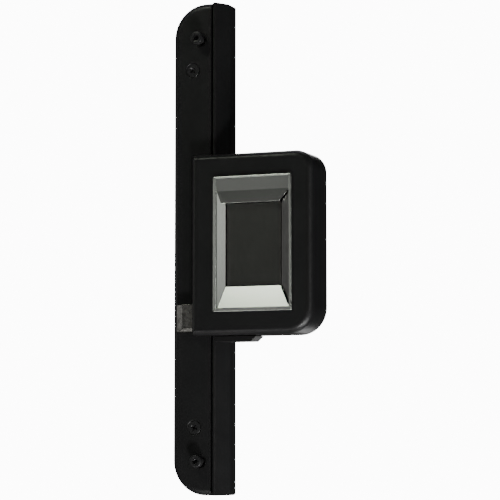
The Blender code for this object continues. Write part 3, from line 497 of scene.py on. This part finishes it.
def at_y(outline, y):
    """Ring in space from an outline in X and Z."""
    return [(a, y, b) for a, b in outline]


def slab(name, outline, front, back, rounding=0.0, arc=10):
    """Plate whose outline is a function of the inset, its front rim rounded."""
    rings = []
    for i in range(arc + 1 if rounding else 1):
        angle = math.pi / 2 * (1 - i / arc)
        rings.append(at_y(outline(rounding * (1 - math.cos(angle))),
                          front + rounding * (1 - math.sin(angle))))
    return loft(name, [*rings, at_y(outline(0), back)])


def prism(name, outline, axis, low, high):
    """Straight solid on an outline given across X, Y or Z."""
    place = {"X": lambda a, b, c: (c, a, b), "Y": lambda a, b, c: (a, c, b),
             "Z": lambda a, b, c: (a, b, c)}[axis]
    return loft(name, [[place(a, b, c) for a, b in outline] for c in (low, high)])


def block(name, low, high):
    """Box between two corners."""
    (x0, y0, z0), (x1, y1, z1) = low, high
    return prism(name, [(x0, y0), (x1, y0), (x1, y1), (x0, y1)], "Z", z0, z1)


def lathe(name, profile, place, direction, sides=48):
    """Turned solid; the profile's rows are a radius, or a function of the angle, and a height."""
    rings = []
    for radius, height in profile:
        ring = []
        for i in range(sides):
            angle = math.tau * i / sides
            r = radius(angle) if callable(radius) else radius
            ring.append((max(r, 0.01) * math.cos(angle), max(r, 0.01) * math.sin(angle), height))
        rings.append(ring)
    mesh = loft(name, rings)
    turn = Vector((0, 0, 1)).rotation_difference(Vector(direction)).to_matrix().to_4x4()
    mesh.transform(Matrix.Translation(Vector(place) * MM) @ turn)
    return mesh


def rod(name, start, end, radius, sides=40, end_radius=None):
    """Round bar or cone between two points."""
    start, end = Vector(start), Vector(end)
    run = end - start
    last = radius if end_radius is None else end_radius
    return lathe(name, [(radius, 0.0), (last, run.length)], start, run, sides)


def swept(name, points, wire):
    """Round wire of this radius along a path."""
    sides = 10
    points = [Vector(point) for point in points]
    rings = []
    side = None
    for i, point in enumerate(points):
        ahead = (points[min(i + 1, len(points) - 1)] - points[max(i - 1, 0)]).normalized()
        if side is None:
            side = ahead.orthogonal().normalized()
        side = (side - ahead * side.dot(ahead)).normalized()
        other = ahead.cross(side)
        rings.append([point + (side * math.cos(math.tau * k / sides)
                               + other * math.sin(math.tau * k / sides)) * wire
                      for k in range(sides)])
    return loft(name, rings)


def coil_points(start, axis, length, radius, wire, turns):
    """Path of a compression spring with a closed turn at each end."""
    steps = 32
    across = {"X": (1, 2), "Y": (0, 2), "Z": (0, 1)}[axis]
    along = {"X": 0, "Y": 1, "Z": 2}[axis]
    dead = 2.1 * wire
    points = []
    for i in range((turns + 2) * steps + 1):
        turn = i / steps
        if turn < 1:
            rise = dead * turn
        elif turn > turns + 1:
            rise = length - dead * (turns + 2 - turn)
        else:
            rise = dead + (length - 2 * dead) * (turn - 1) / turns
        point = list(start)
        point[along] += rise
        point[across[0]] += radius * math.cos(math.tau * turn)
        point[across[1]] += radius * math.sin(math.tau * turn)
        points.append(point)
    return points


def placed(mesh):
    """Object that holds a mesh while Booleans run."""
    thing = bpy.data.objects.new(mesh.name, mesh)
    bpy.context.scene.collection.objects.link(thing)
    return thing


def combined(mesh, operation, others):
    """Mesh after exact Booleans with other meshes, which are used up."""
    base = placed(mesh)
    tools = [placed(other) for other in others]
    for tool in tools:
        step = base.modifiers.new(tool.name, "BOOLEAN")
        step.operation = operation
        step.solver = "EXACT"
        step.object = tool
    graph = bpy.context.evaluated_depsgraph_get()
    graph.update()
    made = bpy.data.meshes.new_from_object(base.evaluated_get(graph))
    for thing in (base, *tools):
        old = thing.data
        bpy.data.objects.remove(thing, do_unlink=True)
        bpy.data.meshes.remove(old)
    form = bmesh.new()
    form.from_mesh(made)
    bmesh.ops.remove_doubles(form, verts=form.verts, dist=CLEAN * MM)
    bmesh.ops.dissolve_degenerate(form, edges=form.edges, dist=CLEAN * MM)
    form.to_mesh(made)
    form.free()
    return made


def cut(mesh, *others):
    """Mesh less the others."""
    return combined(mesh, "DIFFERENCE", others)


def fuse(mesh, *others):
    """Mesh joined with the others."""
    return combined(mesh, "UNION", others)


def shade(mesh):
    """Smooth where a face curves gently into a neighbour, flat elsewhere."""
    form = bmesh.new()
    form.from_mesh(mesh)
    curved, sharp = math.radians(0.5), math.radians(25)
    for face in form.faces:
        bends = [edge.calc_face_angle(0.0) for edge in face.edges]
        face.smooth = any(curved < bend < sharp for bend in bends)
    form.to_mesh(mesh)
    form.free()


def edge_break(piece, width, limit=30.0):
    """Small rounded edges, on bends above the limit in degrees, and even shading of flat faces."""
    step = piece.modifiers.new("edges", "BEVEL")
    step.width = width * MM
    step.segments = 2
    step.limit_method = "ANGLE"
    step.angle_limit = math.radians(limit)
    step.use_clamp_overlap = False
    flat = piece.modifiers.new("flat_faces", "WEIGHTED_NORMAL")
    flat.weight = 100


def show(name, mesh, slot, body, nodes, edge=0.12, limit=30.0, look=None):
    """Put a finished piece in the scene in place of its CAD nodes, with edges of this width."""
    piece = bpy.data.objects.new(name, mesh)
    bpy.context.scene.collection.objects.link(piece)
    mesh.materials.clear()
    mesh.materials.append(MATERIALS[look or slot])
    shade(mesh)
    if edge:
        edge_break(piece, edge, limit)
    else:
        mesh.set_sharp_from_angle(angle=math.radians(35))
    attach(piece, body)
    if nodes:
        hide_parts(*nodes)
    return piece


# ---------------------------------------------------------------- screws

def cross_recess(place, direction, size, turn):
    """Tapered Phillips recess, as cutters."""
    turned = Vector((0, 0, 1)).rotation_difference(Vector(direction)).to_matrix().to_4x4()
    at_head = Matrix.Translation(Vector(place) * MM) @ turned

    def ring(a, b, z):
        return [(-a, -b, z), (a, -b, z), (a, b, z), (-a, b, z)]

    tools = []
    for quarter in (0, 90):
        mesh = loft("wing", [ring(size * 0.58, size * 0.15, 0.6),
                             ring(size * 0.53, size * 0.135, 0),
                             ring(size * 0.22, size * 0.08, -size * 0.38)])
        mesh.transform(at_head @ Matrix.Rotation(math.radians(turn + quarter), 4, "Z"))
        tools.append(mesh)
    dimple = lathe("dimple", [(size * 0.24, 0.6), (size * 0.24, 0), (0.02, -size * 0.42)],
                   (0, 0, 0), (0, 0, 1), 24)
    dimple.transform(at_head)
    return [*tools, dimple]


def screws(name):
    """Node, head's middle, head radius and length of each countersunk screw of this name."""
    direction, _ = COUNTERSUNK[name]
    facing = Y if direction[Y] else Z
    found = []
    for node in sorted(node for node in NODES if node.startswith(name)):
        place = [middle(node, axis) for axis in (X, Y, Z)]
        place[facing] = limits(node, facing)[1 if direction[facing] > 0 else 0]
        found.append((node, place, extent(node, X) / 2, extent(node, facing)))
    return found


def heads(name):
    """Middles of the heads of the countersunk screws of this name."""
    return [place for _, place, _, _ in screws(name)]


def countersunk(name, place, direction, head, shank, length, turn):
    """Flat-head screw with a thread below its head."""
    pitch = shank * 0.42
    profile = [(head - 0.12, 0.0), (head, -0.12), (head, -0.2), (shank, shank - head - 0.1)]
    height = shank - head - 0.2
    while height > -length + pitch:
        profile += [(shank, height), (shank * 0.84, height - pitch * 0.5)]
        height -= pitch
    profile += [(shank, height), (shank * 0.6, -length)]
    mesh = cut(lathe(name, profile, place, direction, 40),
               *cross_recess(place, direction, head, turn))
    show(name, mesh, SLOTS[name], "root", [name], 0)


def cap_screw(name, z):
    """Socket cap screw: knurled head, hexagon socket and threaded shank."""
    pitch, shank, socket, head = 0.7, 1.6, 1.5, 2.9

    def hexagon(angle):
        return socket * math.cos(math.pi / 6) / math.cos((angle % (math.pi / 3)) - math.pi / 6)

    def knurl(angle):
        return head - 0.09 * (0.5 + 0.5 * math.cos(32 * angle))

    profile = [(0.02, 3.2), (hexagon, 4.0), (hexagon, 5.5), (1.62, 5.6), (2.5, 5.6), (2.7, 5.54),
               (2.84, 5.4), (2.88, 5.2), (knurl, 5.05), (knurl, 2.75), (2.86, 2.6), (2.7, 2.4),
               (shank, 2.4)]
    height = 2.2
    while height > BAR_FRONT + 0.5:
        def thread(angle, height=height):
            return shank - 0.17 * (0.5 + 0.5 * math.cos(math.tau * height / pitch - angle))
        profile.append((thread, height))
        height -= pitch / 6
    profile.append((shank * 0.8, BAR_FRONT + 0.2))
    mesh = lathe(name, profile, (0, BAR_FRONT, z), FRONT, 96)
    show(name, mesh, "black_screw", "root", [name], 0)


def add_screws():
    """Mounting screws, then every countersunk screw, each with its recess turned differently."""
    for i, z in enumerate(MOUNT_Z):
        cap_screw(f"mounting_screw_{i + 1}", z)
    for name, (direction, shank) in COUNTERSUNK.items():
        for i, (node, place, head, length) in enumerate(screws(name)):
            countersunk(node, place, direction, head, shank, length, 40 + 25 * i)


def holes_for(name):
    """Countersunk clearance holes for all the screws of this name."""
    direction, shank = COUNTERSUNK[name]
    holes = []
    for _, place, head, length in screws(name):
        rim, bore = head + GAP * math.sqrt(2), shank + GAP
        profile = [(rim + 1.0, 1.0), (bore, bore - rim), (bore, -length - 1.5)]
        holes.append(lathe("hole", profile, place, direction, 40))
    return holes


# ---------------------------------------------------------------- mounting bar

def mount_holes():
    """Clearance holes for the mounting screws, through everything."""
    return [rod("mount_hole", (0, 1, z), (0, -17, z), MOUNT_HOLE) for z in MOUNT_Z]


def cavity(inset):
    """Outline of the hollow in the bar's back, drawn in by an inset."""
    return frame_outline(CAVITY_X, (-CAVITY_HALF, CAVITY_HALF), CAVITY_CORNER, END_ROUND, inset, 24)


def facet_wedge():
    """Cutter for the steep facet along the bar's right side."""
    (x0, y0), (x1, y1) = FACET
    dx, dy = (x1 - x0) * 0.3, (y1 - y0) * 0.3
    outline = [(x0 - dx, y0 - dy), (x1 + dx, y0 - dy), (x1 + dx, y1 + dy)]
    return prism("facet", outline, "Z", -PAST, PAST)


def envelope():
    """The bar grown by the gap, to trim what sits on it."""
    (x0, y0), (x1, y1) = FACET
    outline = [(BAR_X[0] - GAP, 1), (BAR_X[0] - GAP, BAR_FRONT - GAP), (x0 + GAP / 2, y0 - GAP),
               (x1 + GAP, y1 - GAP / 2), (x1 + GAP, 1)]
    return prism("envelope", outline, "Z", -PAST, PAST)


def add_bar_body():
    """Bar with its facet, the seat and side groove for the cover, and the hollow back."""
    half = (-BAR_HALF, BAR_HALF)
    body = slab("bar_body", lambda d: frame_outline(BAR_X, half, BAR_CORNER, END_ROUND, d, 24),
                BAR_FRONT, 0)
    seat = block("seat", (BAR_X[0] - 2, -18, -PAST), (COVER_RIGHT + GAP, COVER_BACK + GAP, PAST))
    groove = block("groove", (COVER_RIGHT, -18, -PAST), (RIDGE_X, GROOVE_BACK, PAST))
    hollow = prism("cavity", cavity(0), "Y", CAVITY_FRONT, 1)
    body = cut(body, facet_wedge(), seat, groove, hollow)
    bosses = [rod("boss", (x, CAVITY_FRONT - 0.5, z), (x, PLATE_FRONT - GAP, z), 2.6)
              for x, _, z in heads("plate_screw")]
    lead_hole = rod("lead_hole", (8.9, -5, 31), (14, -5, 31), 1.8)
    body = cut(fuse(body, *bosses), *mount_holes(), *holes_for("cover_screw"),
               *holes_for("box_fixing_screw"), *holes_for("plate_screw"), lead_hole)
    show("bar_body", body, "black_coat", "root", ["bar_body"], 0.25)


def add_bar_cover():
    """Rounded strip over the bar's left side, dished around the mounting screws."""
    def outline(d):
        return frame_outline((BAR_X[0], COVER_RIGHT), (-BAR_HALF, BAR_HALF), BAR_CORNER, d, d, 24, True)

    cover = slab("bar_cover", outline, BAR_FRONT, COVER_BACK, COVER_ROUND, 12)
    sinks = [rod("sink", (0, BAR_FRONT - 0.5, z), (0, BAR_FRONT + 1.1, z), MOUNT_HOLE + 1.6,
                 end_radius=MOUNT_HOLE) for z in MOUNT_Z]
    cover = cut(cover, *mount_holes(), *sinks, *holes_for("cover_screw"),
                *holes_for("box_fixing_screw"))
    show("bar_cover", cover, "black_coat", "root", ["bar_cover"], 0.15)


def add_mounting_plate():
    """Zinc plate that closes the bar's back."""
    plate = slab("mounting_plate", lambda d: cavity(GAP + d), PLATE_FRONT, 0)
    opening = rod("cable_hole", (0, 1, CABLE_Z), (0, -3, CABLE_Z), 5.6, 56)
    plate = cut(plate, *mount_holes(), *holes_for("plate_screw"), opening)
    show("mounting_plate", plate, "zinc_steel", "root", ["mounting_plate"], 0.1)


def add_grommet():
    """Rubber bush for the cable, with the plate's edge in its groove."""
    bore = 3.6
    profile = [(bore, 0.1), (3.9, -0.02), (4.9, 0.0), (5.3, 0.35), (5.3, 1.45), (5.05, 1.6),
               (5.3, 1.75), (6.4, 1.75), (6.6, 2.0), (6.6, 3.0), (6.3, 3.3), (4.0, 3.3), (bore, 3.0)]
    bush = lathe("cable_grommet", profile, (0, -0.1, CABLE_Z), FRONT, 64)
    bush = cut(bush, rod("bore", (0, 1, CABLE_Z), (0, -5, CABLE_Z), bore, 64))
    show("cable_grommet", bush, "rubber", "root", ["cable_grommet"], 0.1)


# ---------------------------------------------------------------- strike box

def box_outline(inset, left=0.5):
    """Outline of the box, drawn in by an inset."""
    return frame_outline(BOX_X, BOX_Z, left, BOX_CORNER, inset, top=BOX_TOP_CORNER)


def add_box_shell():
    """Cast box: walls, fixing flange, bosses, and openings for the bezel, keeper and nose."""
    shell = slab("box_shell", lambda d: box_outline(d, 1.2), BOX_Y[0], BOX_Y[1], BOX_ROUND, 14)
    hollow = prism("hollow", box_outline(BOX_WALL), "Y", BOX_Y[0] + FACE_THICK, 1)
    window = block("window", (FRAME_X[0] + 0.6, -24, FRAME_Z[0] + 0.6),
                   (FRAME_X[1] - 0.6, -17, FRAME_Z[1] - 0.6))
    relief = block("relief", (MOUTH_X[1] - 0.9, BOX_Y[0] + 1.1, MOUTH_Z[0] - 1),
                   (PIN[0] + 10.2, -18, BAND_TOP + 0.5))
    shell = cut(shell, hollow, window, relief)
    flange = block("flange", (BOX_X[0] + 1, FLANGE_FRONT, -25), (8.6, BAR_FRONT + 1, BOX_Z[1] - 0.8))
    bosses = [rod("boss", (x, BOX_Y[0] + FACE_THICK - 0.4, z), (x, LID_Y[0] - GAP, z), 2.4)
              for x, _, z in heads("back_cover_screw")]
    nose = block("nose_window", (BOX_X[0] - 1, NOSE_Y[0] - GAP, NOSE_Z[0] - GAP),
                 (BOX_X[0] + BOX_WALL + 1, -10, NOSE_Z[1] + GAP))
    shell = cut(fuse(shell, flange, *bosses), nose, envelope(), *holes_for("box_fixing_screw"),
                *holes_for("back_cover_screw"), *holes_for("access_cover_screw"))
    show("box_shell", shell, "black_coat", "root", ["box_shell"], 0.15)


def add_back_cover():
    """Lid of the box's back, with pegs that hold the follower's springs."""
    def outline(d):
        inset = BOX_WALL + GAP + d
        return frame_outline((LID_LEFT + d - inset, BOX_X[1]), BOX_Z, 0.5, BOX_CORNER, inset,
                             top=BOX_TOP_CORNER)

    lid = slab("box_back_cover", outline, *LID_Y)
    pegs = [rod("peg", (24, LID_Y[0] - 1.6, z), (24, LID_Y[0] + 0.6, z), 1.9, end_radius=2.2)
            for z in SPRING_Z]
    lid = cut(fuse(lid, *pegs), *holes_for("back_cover_screw"))
    show("box_back_cover", lid, "black_coat", "root", ["box_back_cover"])


def add_access_cover():
    """Tab under the box, chamfered on its right."""
    top = BOX_Z[0] - GAP
    left, chamfer, right = TAB_X
    outline = rounded([(left, top, 0.1), (left, TAB_BOTTOM, 0.3), (chamfer, TAB_BOTTOM, 0.6),
                       (right, top, 0.1)], 5)
    tab = cut(prism("access_cover", outline, "Y", *TAB_Y), envelope(),
              *holes_for("access_cover_screw"))
    show("access_cover", tab, "black_coat", "root", ["access_cover"], 0.15)


def add_bezel():
    """Lip and funnel as one closed band of rings, its right side cut away for the keeper."""
    def ring(y, xs, zs, corner=0.25):
        return at_y(frame_outline(xs, zs, corner, corner, 0, 5), y)

    def drawn(pair, inset):
        return (pair[0] + inset, pair[1] - inset)

    inner_x, inner_z = drawn(FRAME_X, LIP_WALL), drawn(FRAME_Z, LIP_WALL)
    seat = BOX_Y[0] - GAP
    rings = [ring(BEZEL_BACK, inner_x, inner_z), ring(seat, inner_x, inner_z),
             ring(seat, FRAME_X, FRAME_Z, 0.5)]
    for i in range(5):
        angle = math.pi / 2 * i / 4
        inset = LIP_ROUND * (1 - math.cos(angle))
        rings.append(ring(LIP_FRONT + LIP_ROUND * (1 - math.sin(angle)), drawn(FRAME_X, inset),
                          drawn(FRAME_Z, inset), 0.5))
    hole_z = (MOUTH_Z[0], BAND_TOP)
    half_x = ((MOUTH_X[0] + THROAT_X[0]) / 2, MOUTH_X[1])
    half_z = ((MOUTH_Z[0] + THROAT_Z[0]) / 2, THROAT_Z[1])
    throat_x = (THROAT_X[0], MOUTH_X[1])
    rings += [ring(LIP_FRONT, drawn(MOUTH_X, -0.2), drawn(hole_z, -0.2)),
              ring(LIP_FRONT + 0.08, drawn(MOUTH_X, -0.06), drawn(hole_z, -0.06)),
              ring(LIP_FRONT + 0.2, MOUTH_X, hole_z), ring(LIP_FRONT + 0.3, MOUTH_X, hole_z),
              ring(CREASE_Y, MOUTH_X, MOUTH_Z), ring(HALFWAY_Y, half_x, half_z),
              ring(THROAT_Y, throat_x, THROAT_Z), ring(BEZEL_BACK, throat_x, THROAT_Z)]
    mesh = loft("bezel", rings, loop=True)
    mitre = [(THROAT_X[1] - 0.4, THROAT_Z[0]), (MOUTH_X[1] - 0.3, MOUTH_Z[0]),
             (50, MOUTH_Z[0] - 3.3), (50, BAND_TOP + 0.8), (MOUTH_X[1] - 0.3, MOUTH_Z[1]),
             (THROAT_X[1] - 0.4, THROAT_Z[1])]
    mesh = cut(mesh, prism("keeper_side", mitre, "Y", BOX_Y[0] + 0.1, -15))
    piece = show("bezel", mesh, "bezel_steel", "root", ["bezel"], 0.05, 35)
    for face in piece.data.polygons:
        if face.area > FLAT_AREA * MM * MM:
            face.use_smooth = False
    piece.modifiers["flat_faces"].keep_sharp = True


def add_keeper():
    """Swinging right side of the funnel: ramp, arm, hinge barrel and the lug that locks it."""
    profile = [(46.6, -19.5), (41.7, -17.3), (41.7, -15.9), (44.2, -15.9), (46.6, -17.9)]
    ramp = prism("keeper", profile, "Z", MOUTH_Z[0] - 1, MOUTH_Z[1] + 1)
    side = [(41.6, THROAT_Z[0] + 0.3), (47.0, MOUTH_Z[0] + 0.1), (47.0, MOUTH_Z[1] - 0.1),
            (41.6, THROAT_Z[1] - 0.3)]
    ramp = combined(ramp, "INTERSECT", [prism("mitre", side, "Y", -22, -12)])
    arm = block("arm", (41.7, -16.8, THROAT_Z[0] + 0.3), (44.2, PIN[1], THROAT_Z[1] - 0.3))
    spring_room = block("spring_room", (41.0, -11.5, 12.5), (49.0, -3.0, 20.0))
    barrel = rod("barrel", (*PIN, -18.2), (*PIN, 12.5), 2.6)
    angle = math.atan2(SOLENOID[1] - PIN[1], SOLENOID[0] - PIN[0]) - math.radians(15)
    lug = prism("lug", [(PIN[0] + a * math.cos(angle) - b * math.sin(angle),
                         PIN[1] + a * math.sin(angle) + b * math.cos(angle))
                        for a, b in ((0.5, -0.9), (9.6, -0.9), (9.6, 0.9), (0.5, 0.9))], "Z", -4, -1)
    body = fuse(cut(fuse(ramp, arm), spring_room), barrel, lug)
    body = cut(body, rod("bore", (*PIN, -30), (*PIN, 30), 1.3))
    show("keeper", body, "dark_steel", "keeper", ["keeper"], 0.12)


def add_keeper_pin():
    """Hinge pin with chamfered ends."""
    low, high = limits("keeper_pin", Z)
    pin = lathe("keeper_pin", [(0.85, low), (1.0, low + 0.2), (1.0, high - 0.2), (0.85, high)],
                (*PIN, 0), (0, 0, 1), 32)
    show("keeper_pin", pin, "zinc_steel", "root", ["keeper_pin"], 0)


def add_follower():
    """Cup-shaped plate on the funnel's floor."""
    wall = 1.2
    xs, ys, zs = [limits("follower_plate", axis) for axis in (X, Y, Z)]
    inner_x, inner_z = (xs[0] + wall, xs[1] - wall), (zs[0] + wall, zs[1] - wall)
    cup = slab("follower_plate", lambda d: frame_outline(xs, zs, 0.4, 0.4, d, 5), *ys, 0.25, 4)
    hollow = slab("hollow", lambda d: frame_outline(inner_x, inner_z, 0.8, 0.8, d, 5), -15.4, -10,
                  0.4, 5)
    show("follower_plate", cut(cup, hollow), "dark_steel", "follower", ["follower_plate"], 0.06,
         look="dark_panel")


def add_trigger():
    """Nose with a chamfered left side and bottom, and the tail that its spring presses."""
    (x0, x1), (y0, y1), (z0, z1) = NOSE_X, NOSE_Y, NOSE_Z
    width, depth = 3.7, 2.3
    nose = block("trigger_bolt", (x0, y0, z0), (x1, y1, z1))
    left = prism("chamfer", [(x0 - 1, y0 - 1), (x0 + width, y0 - 1), (x0 + width, y0),
                             (x0, y0 + depth), (x0 - 1, y0 + depth)], "Z", -60, 0)
    foot = prism("chamfer", [(y0 - 1, z0 - 1), (y0 + depth, z0 - 1), (y0 - 1, z0 + depth)], "X",
                 -20, 20)
    tail = block("tail", (x1 - 1, y0 + 1, z0 + 0.4), (10.0, y1 - 0.3, z0 + 7.0))
    show("trigger_bolt", fuse(cut(nose, left, foot), tail), "nickel", "trigger",
         ["trigger_bolt"], 0.15, look="nose_steel")


def add_springs():
    """Wire springs; each one that a joint presses gets a mesh of its own.
    """
    rows = [(f"follower_spring_{i + 1}", (24.0, -14.7, z), "Y", 9.9, 3.4, 0.35, 5,
             ("follower_slide", (0, 1, 0), (0, -4.5, 0), 0.29)) for i, z in enumerate(SPRING_Z)]
    rows += [("plunger_spring", (*SOLENOID, 27.7), "Z", 4.7, 2.0, 0.3, 4,
              ("plunger_slide", (0, 0, 1), (0, 0, 27.4), 0.25)),
             ("trigger_spring", (10.8, -16.65, -35.7), "X", 12.8, 1.6, 0.28, 6,
              ("trigger_slide", (1, 0, 0), (24.0, 0, 0), 0.39)),
             ("keeper_spring", (*PIN, 13.4), "Z", 5.1, 1.9, 0.4, 4, None)]
    for name, start, axis, length, radius, wire, turns, press in rows:
        mesh = swept(name, coil_points(start, axis, length, radius, wire, turns), wire)
        piece = show(name, mesh, "spring_steel", "root", [name], 0)
        if press:
            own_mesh(piece)


def add_winding():
    """Copper winding, each turn of wire showing as a ridge."""
    low, high = limits("solenoid_coil", Z)
    outer, inner, pitch, groove = extent("solenoid_coil", X) / 2, 2.3, 0.48, 0.16
    count = int((high - low) / pitch)
    step = (high - low) / count
    profile = [(inner, low), (outer - 0.2, low)]
    for i in range(count):
        base = low + (high - low) * i / count
        profile += [(outer - groove, base + step * 0.08), (outer, base + step * 0.35),
                    (outer, base + step * 0.65), (outer - groove, base + step * 0.92)]
    profile += [(outer - 0.2, high), (inner, high)]
    mesh = lathe("solenoid_coil", profile, (*SOLENOID, 0), (0, 0, 1), 40)
    mesh = cut(mesh, rod("bore", (*SOLENOID, 0), (*SOLENOID, 30), inner))
    show("solenoid_coil", mesh, "copper", "root", ["solenoid_coil"], 0)


def carry_over():
    """Inner CAD pieces keep their shape and get their material and broken edges."""
    for name, node in NODES.items():
        if node.hide_render:
            continue
        slot = SLOTS[name]
        node.data.materials.clear()
        node.data.materials.append(MATERIALS[slot])
        joined = node.modifiers.new("joined", "WELD")
        joined.merge_threshold = CLEAN * MM
        edge_break(node, 0.08)


# ---------------------------------------------------------------- the model

SLOTS = {part["node"]: part["material_slot"] for part in frame["record"]["subparts"]}
MATERIALS = make_materials()
add_bar_body()
add_bar_cover()
add_mounting_plate()
add_grommet()
add_box_shell()
add_back_cover()
add_access_cover()
add_bezel()
add_keeper()
add_keeper_pin()
add_follower()
add_trigger()
add_springs()
add_winding()
add_screws()
carry_over()
add_camera()
add_lights()
add_world()
add_floor()
